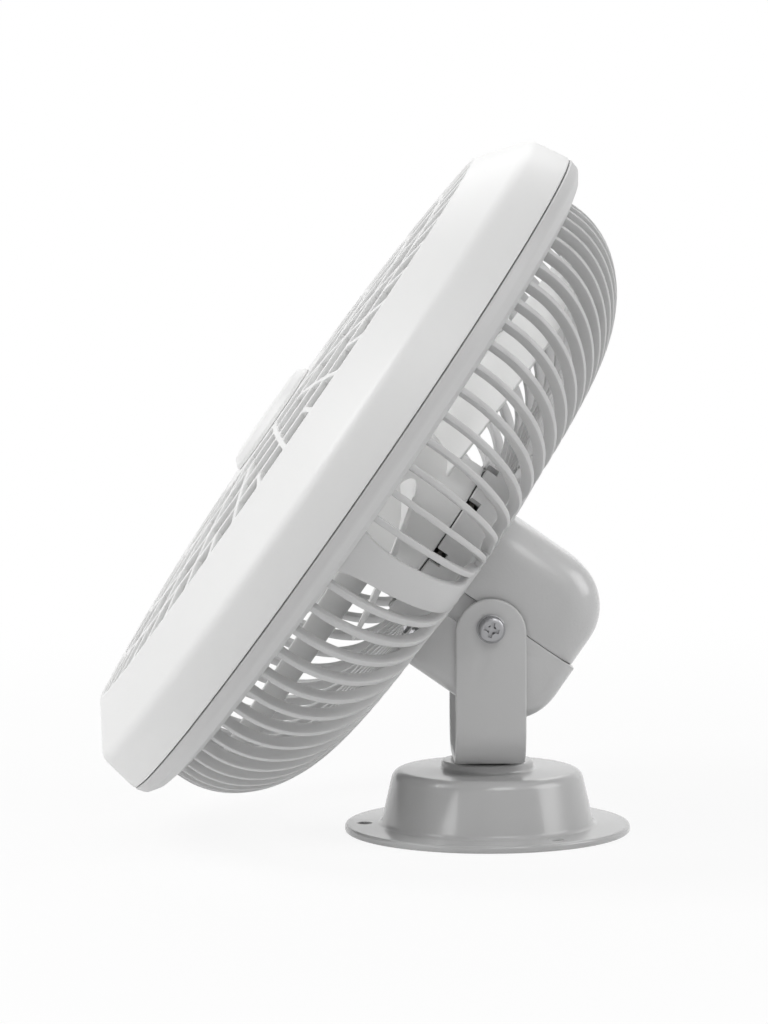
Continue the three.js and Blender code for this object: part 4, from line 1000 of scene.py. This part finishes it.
def roundedBox(width, height, low, high, corner, soft):
    outline = roundedPath([(-width / 2, -height / 2, corner), (width / 2, -height / 2, corner),
            (width / 2, height / 2, corner), (-width / 2, height / 2, corner)])
    return softened(prism(outline, low, high), soft)


# the frame and the body behind it, then the rocker, all about the switch's own height
def makeSwitch(look):
    low, high = headBox("switch_body")
    rear, rise = housingLook["rear"], (low.y + high.y) / 2
    width, height = high.x - low.x, high.y - low.y
    frameOut, frameIn = rear - look["proud"], rear + look["frameDepth"]
    rim = roundedBox(width, height, frameOut, frameIn, look["frameCorner"], 0.15)
    narrower, lower = look["bodyInset"]
    bodyEnd = low.z + look["bodyDepth"]
    body = roundedBox(width - narrower, height - lower, rear + look["bodyFront"], bodyEnd, 0.4, 0.2)
    x, y = look["window"]
    window = box((-x, x), (-y, y), (low.z - 1, low.z + 4))
    shell = combined(combined(rim, "UNION", body), "DIFFERENCE", window)
    terminals = [box((x - 1, x + 1), (-0.4, 0.4), (bodyEnd - 0.5, bodyEnd + look["terminalLength"]))
        for x in look["terminals"]]
    piece("switchBody", shifted(gathered(shell, *terminals), y=rise), headPlace, "head",
        "black_plastic", "switch_body")
    outer, half = rear - look["rockerProud"], look["rockerHalf"]
    inner, keel, deep = outer + look["rockerSide"], look["keelHalf"], outer + look["keelDepth"]
    side = roundedPath([
        (-half, outer, 0.35), (0, outer + look["rockerDish"], 6), (half, outer, 0.35),
        (half, inner, 0.3), (keel, deep, 1), (-keel, deep, 1), (-half, inner, 0.3)], steps=6)
    across = look["rockerWidth"] / 2
    rocker = softened(turned(prism(side, -across, across), 90, "X"), 0.25)
    piece("switchRocker", shifted(rocker, y=rise), headPlace, "rocker", "black_plastic",
        "switch_rocker")


def makeInlet(look):
    low, high = headBox("power_inlet")
    back, deep = low.z, high.z
    body, flange, bore, pin = look["body"], look["flange"], look["bore"], look["pin"]
    seat, floor, pinTip = back + look["flangeDepth"], deep - look["floor"], back + look["pinDepth"]
    ring = rounded([
        (0, deep, 0), (body, deep, 0.3), (body, seat, 0), (flange, seat, 0.1), (flange, back, 0.35),
        (bore, back, 0.35), (bore, floor, 0), (pin, floor, 0), (pin, pinTip, 0.5), (0, pinTip, 0)],
        steps=4, segments=64)
    piece("powerInlet", shifted(ring, y=(low.y + high.y) / 2), headPlace, "head", "black_plastic",
        "power_inlet")


makeSwitch(switchLook)
makeInlet(inletLook)
print("controls made")


stageLook = {"floorSize": 14.0, "floorDrop": 0.0002, "floorColour": (0.92, 0.92, 0.92, 1),
    "floorRoughness": 0.9, "nearShare": 0.9, "nearReach": 0.12, "farReach": 0.6, "ambient": 0.06}

# degrees round the fan and above the floor, seen from the point that they light, size and power
lamps = {
    "keyLamp": (-80, 45, 0.8, 16.0), "faceLamp": (20, 45, 0.8, 6.5),
    "sideLamp": (80, 28, 1.1, 12.0), "lowLamp": (-46, 18, 0.5, 2.8),
    "frontLamp": (-90, 15, 0.8, 4.5), "topLamp": (-90, 70, 0.9, 1.5),
    "backLamp": (175, 42, 1.2, 6.5)}
lampDistance = 1.9
lampAim = Vector((0, -0.03, 0.09))

photoCamera = {"place": (1.0651, -0.0562, 0.1819), "yaw": 0.0235, "pitch": -0.0793,
    "roll": -0.0038, "focalPixels": 3530.8, "longSide": 1024, "sensor": 36.0,
    "near": 0.01, "far": 50}


# a shader that the camera, gloss and glass see in place of the lit one, to the given share
def mixSeen(tree, lit, seen, output, share=None):
    path = addNode(tree, "ShaderNodeLightPath").outputs
    rays = calcIn(tree, "MAXIMUM", path["Is Camera Ray"], path["Is Glossy Ray"])
    rays = calcIn(tree, "MAXIMUM", rays, path["Is Transmission Ray"])
    factor = calcIn(tree, "*", rays, share) if share else rays
    mixed = addNode(tree, "ShaderNodeMixShader", {0: factor, 1: lit.outputs[0], 2: seen.outputs[0]})
    tree.links.new(mixed.outputs[0], tree.nodes[output].inputs["Surface"])


def makeFloor(look):
    half = look["floorSize"] / 2
    mesh = bmesh.new()
    mesh.faces.new([mesh.verts.new((x, y, -look["floorDrop"])) for x, y in
            ((-half, -half), (half, -half), (half, half), (-half, half))])
    floor = holderOf(finishedMesh(mesh), "floor")
    material, tree, shader = newMaterial("floorFinish")
    shader.inputs["Base Color"].default_value = look["floorColour"]
    shader.inputs["Roughness"].default_value = look["floorRoughness"]
    glow = addNode(tree, "ShaderNodeEmission", {"Strength": 1.0})
    # the shadow shows round the base and fades out into white
    where = addNode(tree, "ShaderNodeTexCoord").outputs["Object"]
    spot = addNode(tree, "ShaderNodeVectorMath", {0: where}, operation="LENGTH").outputs["Value"]
    fade = addNode(tree, "ShaderNodeMapRange", {
        "Value": spot, "From Min": look["nearReach"], "From Max": look["farReach"],
        "To Min": look["nearShare"], "To Max": 1.0}, interpolation_type="SMOOTHSTEP").outputs[0]
    mixSeen(tree, shader, glow, "Material Output", fade)
    floor.data.materials.append(material)


def makeWorld(look):
    world = bpy.data.worlds.new("studio")
    bpy.context.scene.world = world
    world.use_nodes = True
    soft = world.node_tree.nodes["Background"]
    soft.inputs["Color"].default_value = (1, 1, 1, 1)
    soft.inputs["Strength"].default_value = look["ambient"]
    white = addNode(world.node_tree, "ShaderNodeBackground", {
        "Strength": 1.0, "Color": (1, 1, 1, 1)})
    mixSeen(world.node_tree, soft, white, "World Output")


def makeLamps():
    for name, (turn, rise, size, power) in lamps.items():
        data = bpy.data.lights.new(name, "AREA")
        data.shape, data.size, data.energy = "SQUARE", size, power
        holder = holderOf(data, name)
        level, height = around(1, rise)
        x, y = around(level, turn)
        holder.location = lampAim + lampDistance * Vector((x, y, height))
        holder.rotation_euler = (lampAim - holder.location).to_track_quat("-Z", "Y").to_euler()


def makeCamera(look):
    data = bpy.data.cameras.new("photoView")
    data.sensor_width = look["sensor"]
    data.lens = look["focalPixels"] * look["sensor"] / look["longSide"]
    data.clip_start, data.clip_end = look["near"], look["far"]
    holder = holderOf(data, "photoView")
    level, yaw = math.cos(look["pitch"]), look["yaw"]
    aim = Vector((-math.cos(yaw) * level, math.sin(yaw) * level, math.sin(look["pitch"])))
    turn = aim.to_track_quat("-Z", "Y").to_matrix().to_4x4() @ Matrix.Rotation(look["roll"], 4, "Z")
    holder.matrix_world = Matrix.Translation(look["place"]) @ turn
    bpy.context.scene.camera = holder


makeFloor(stageLook)
makeWorld(stageLook)
makeLamps()
makeCamera(photoCamera)
bpy.context.scene.view_settings.view_transform = "Standard"
print("stage set")
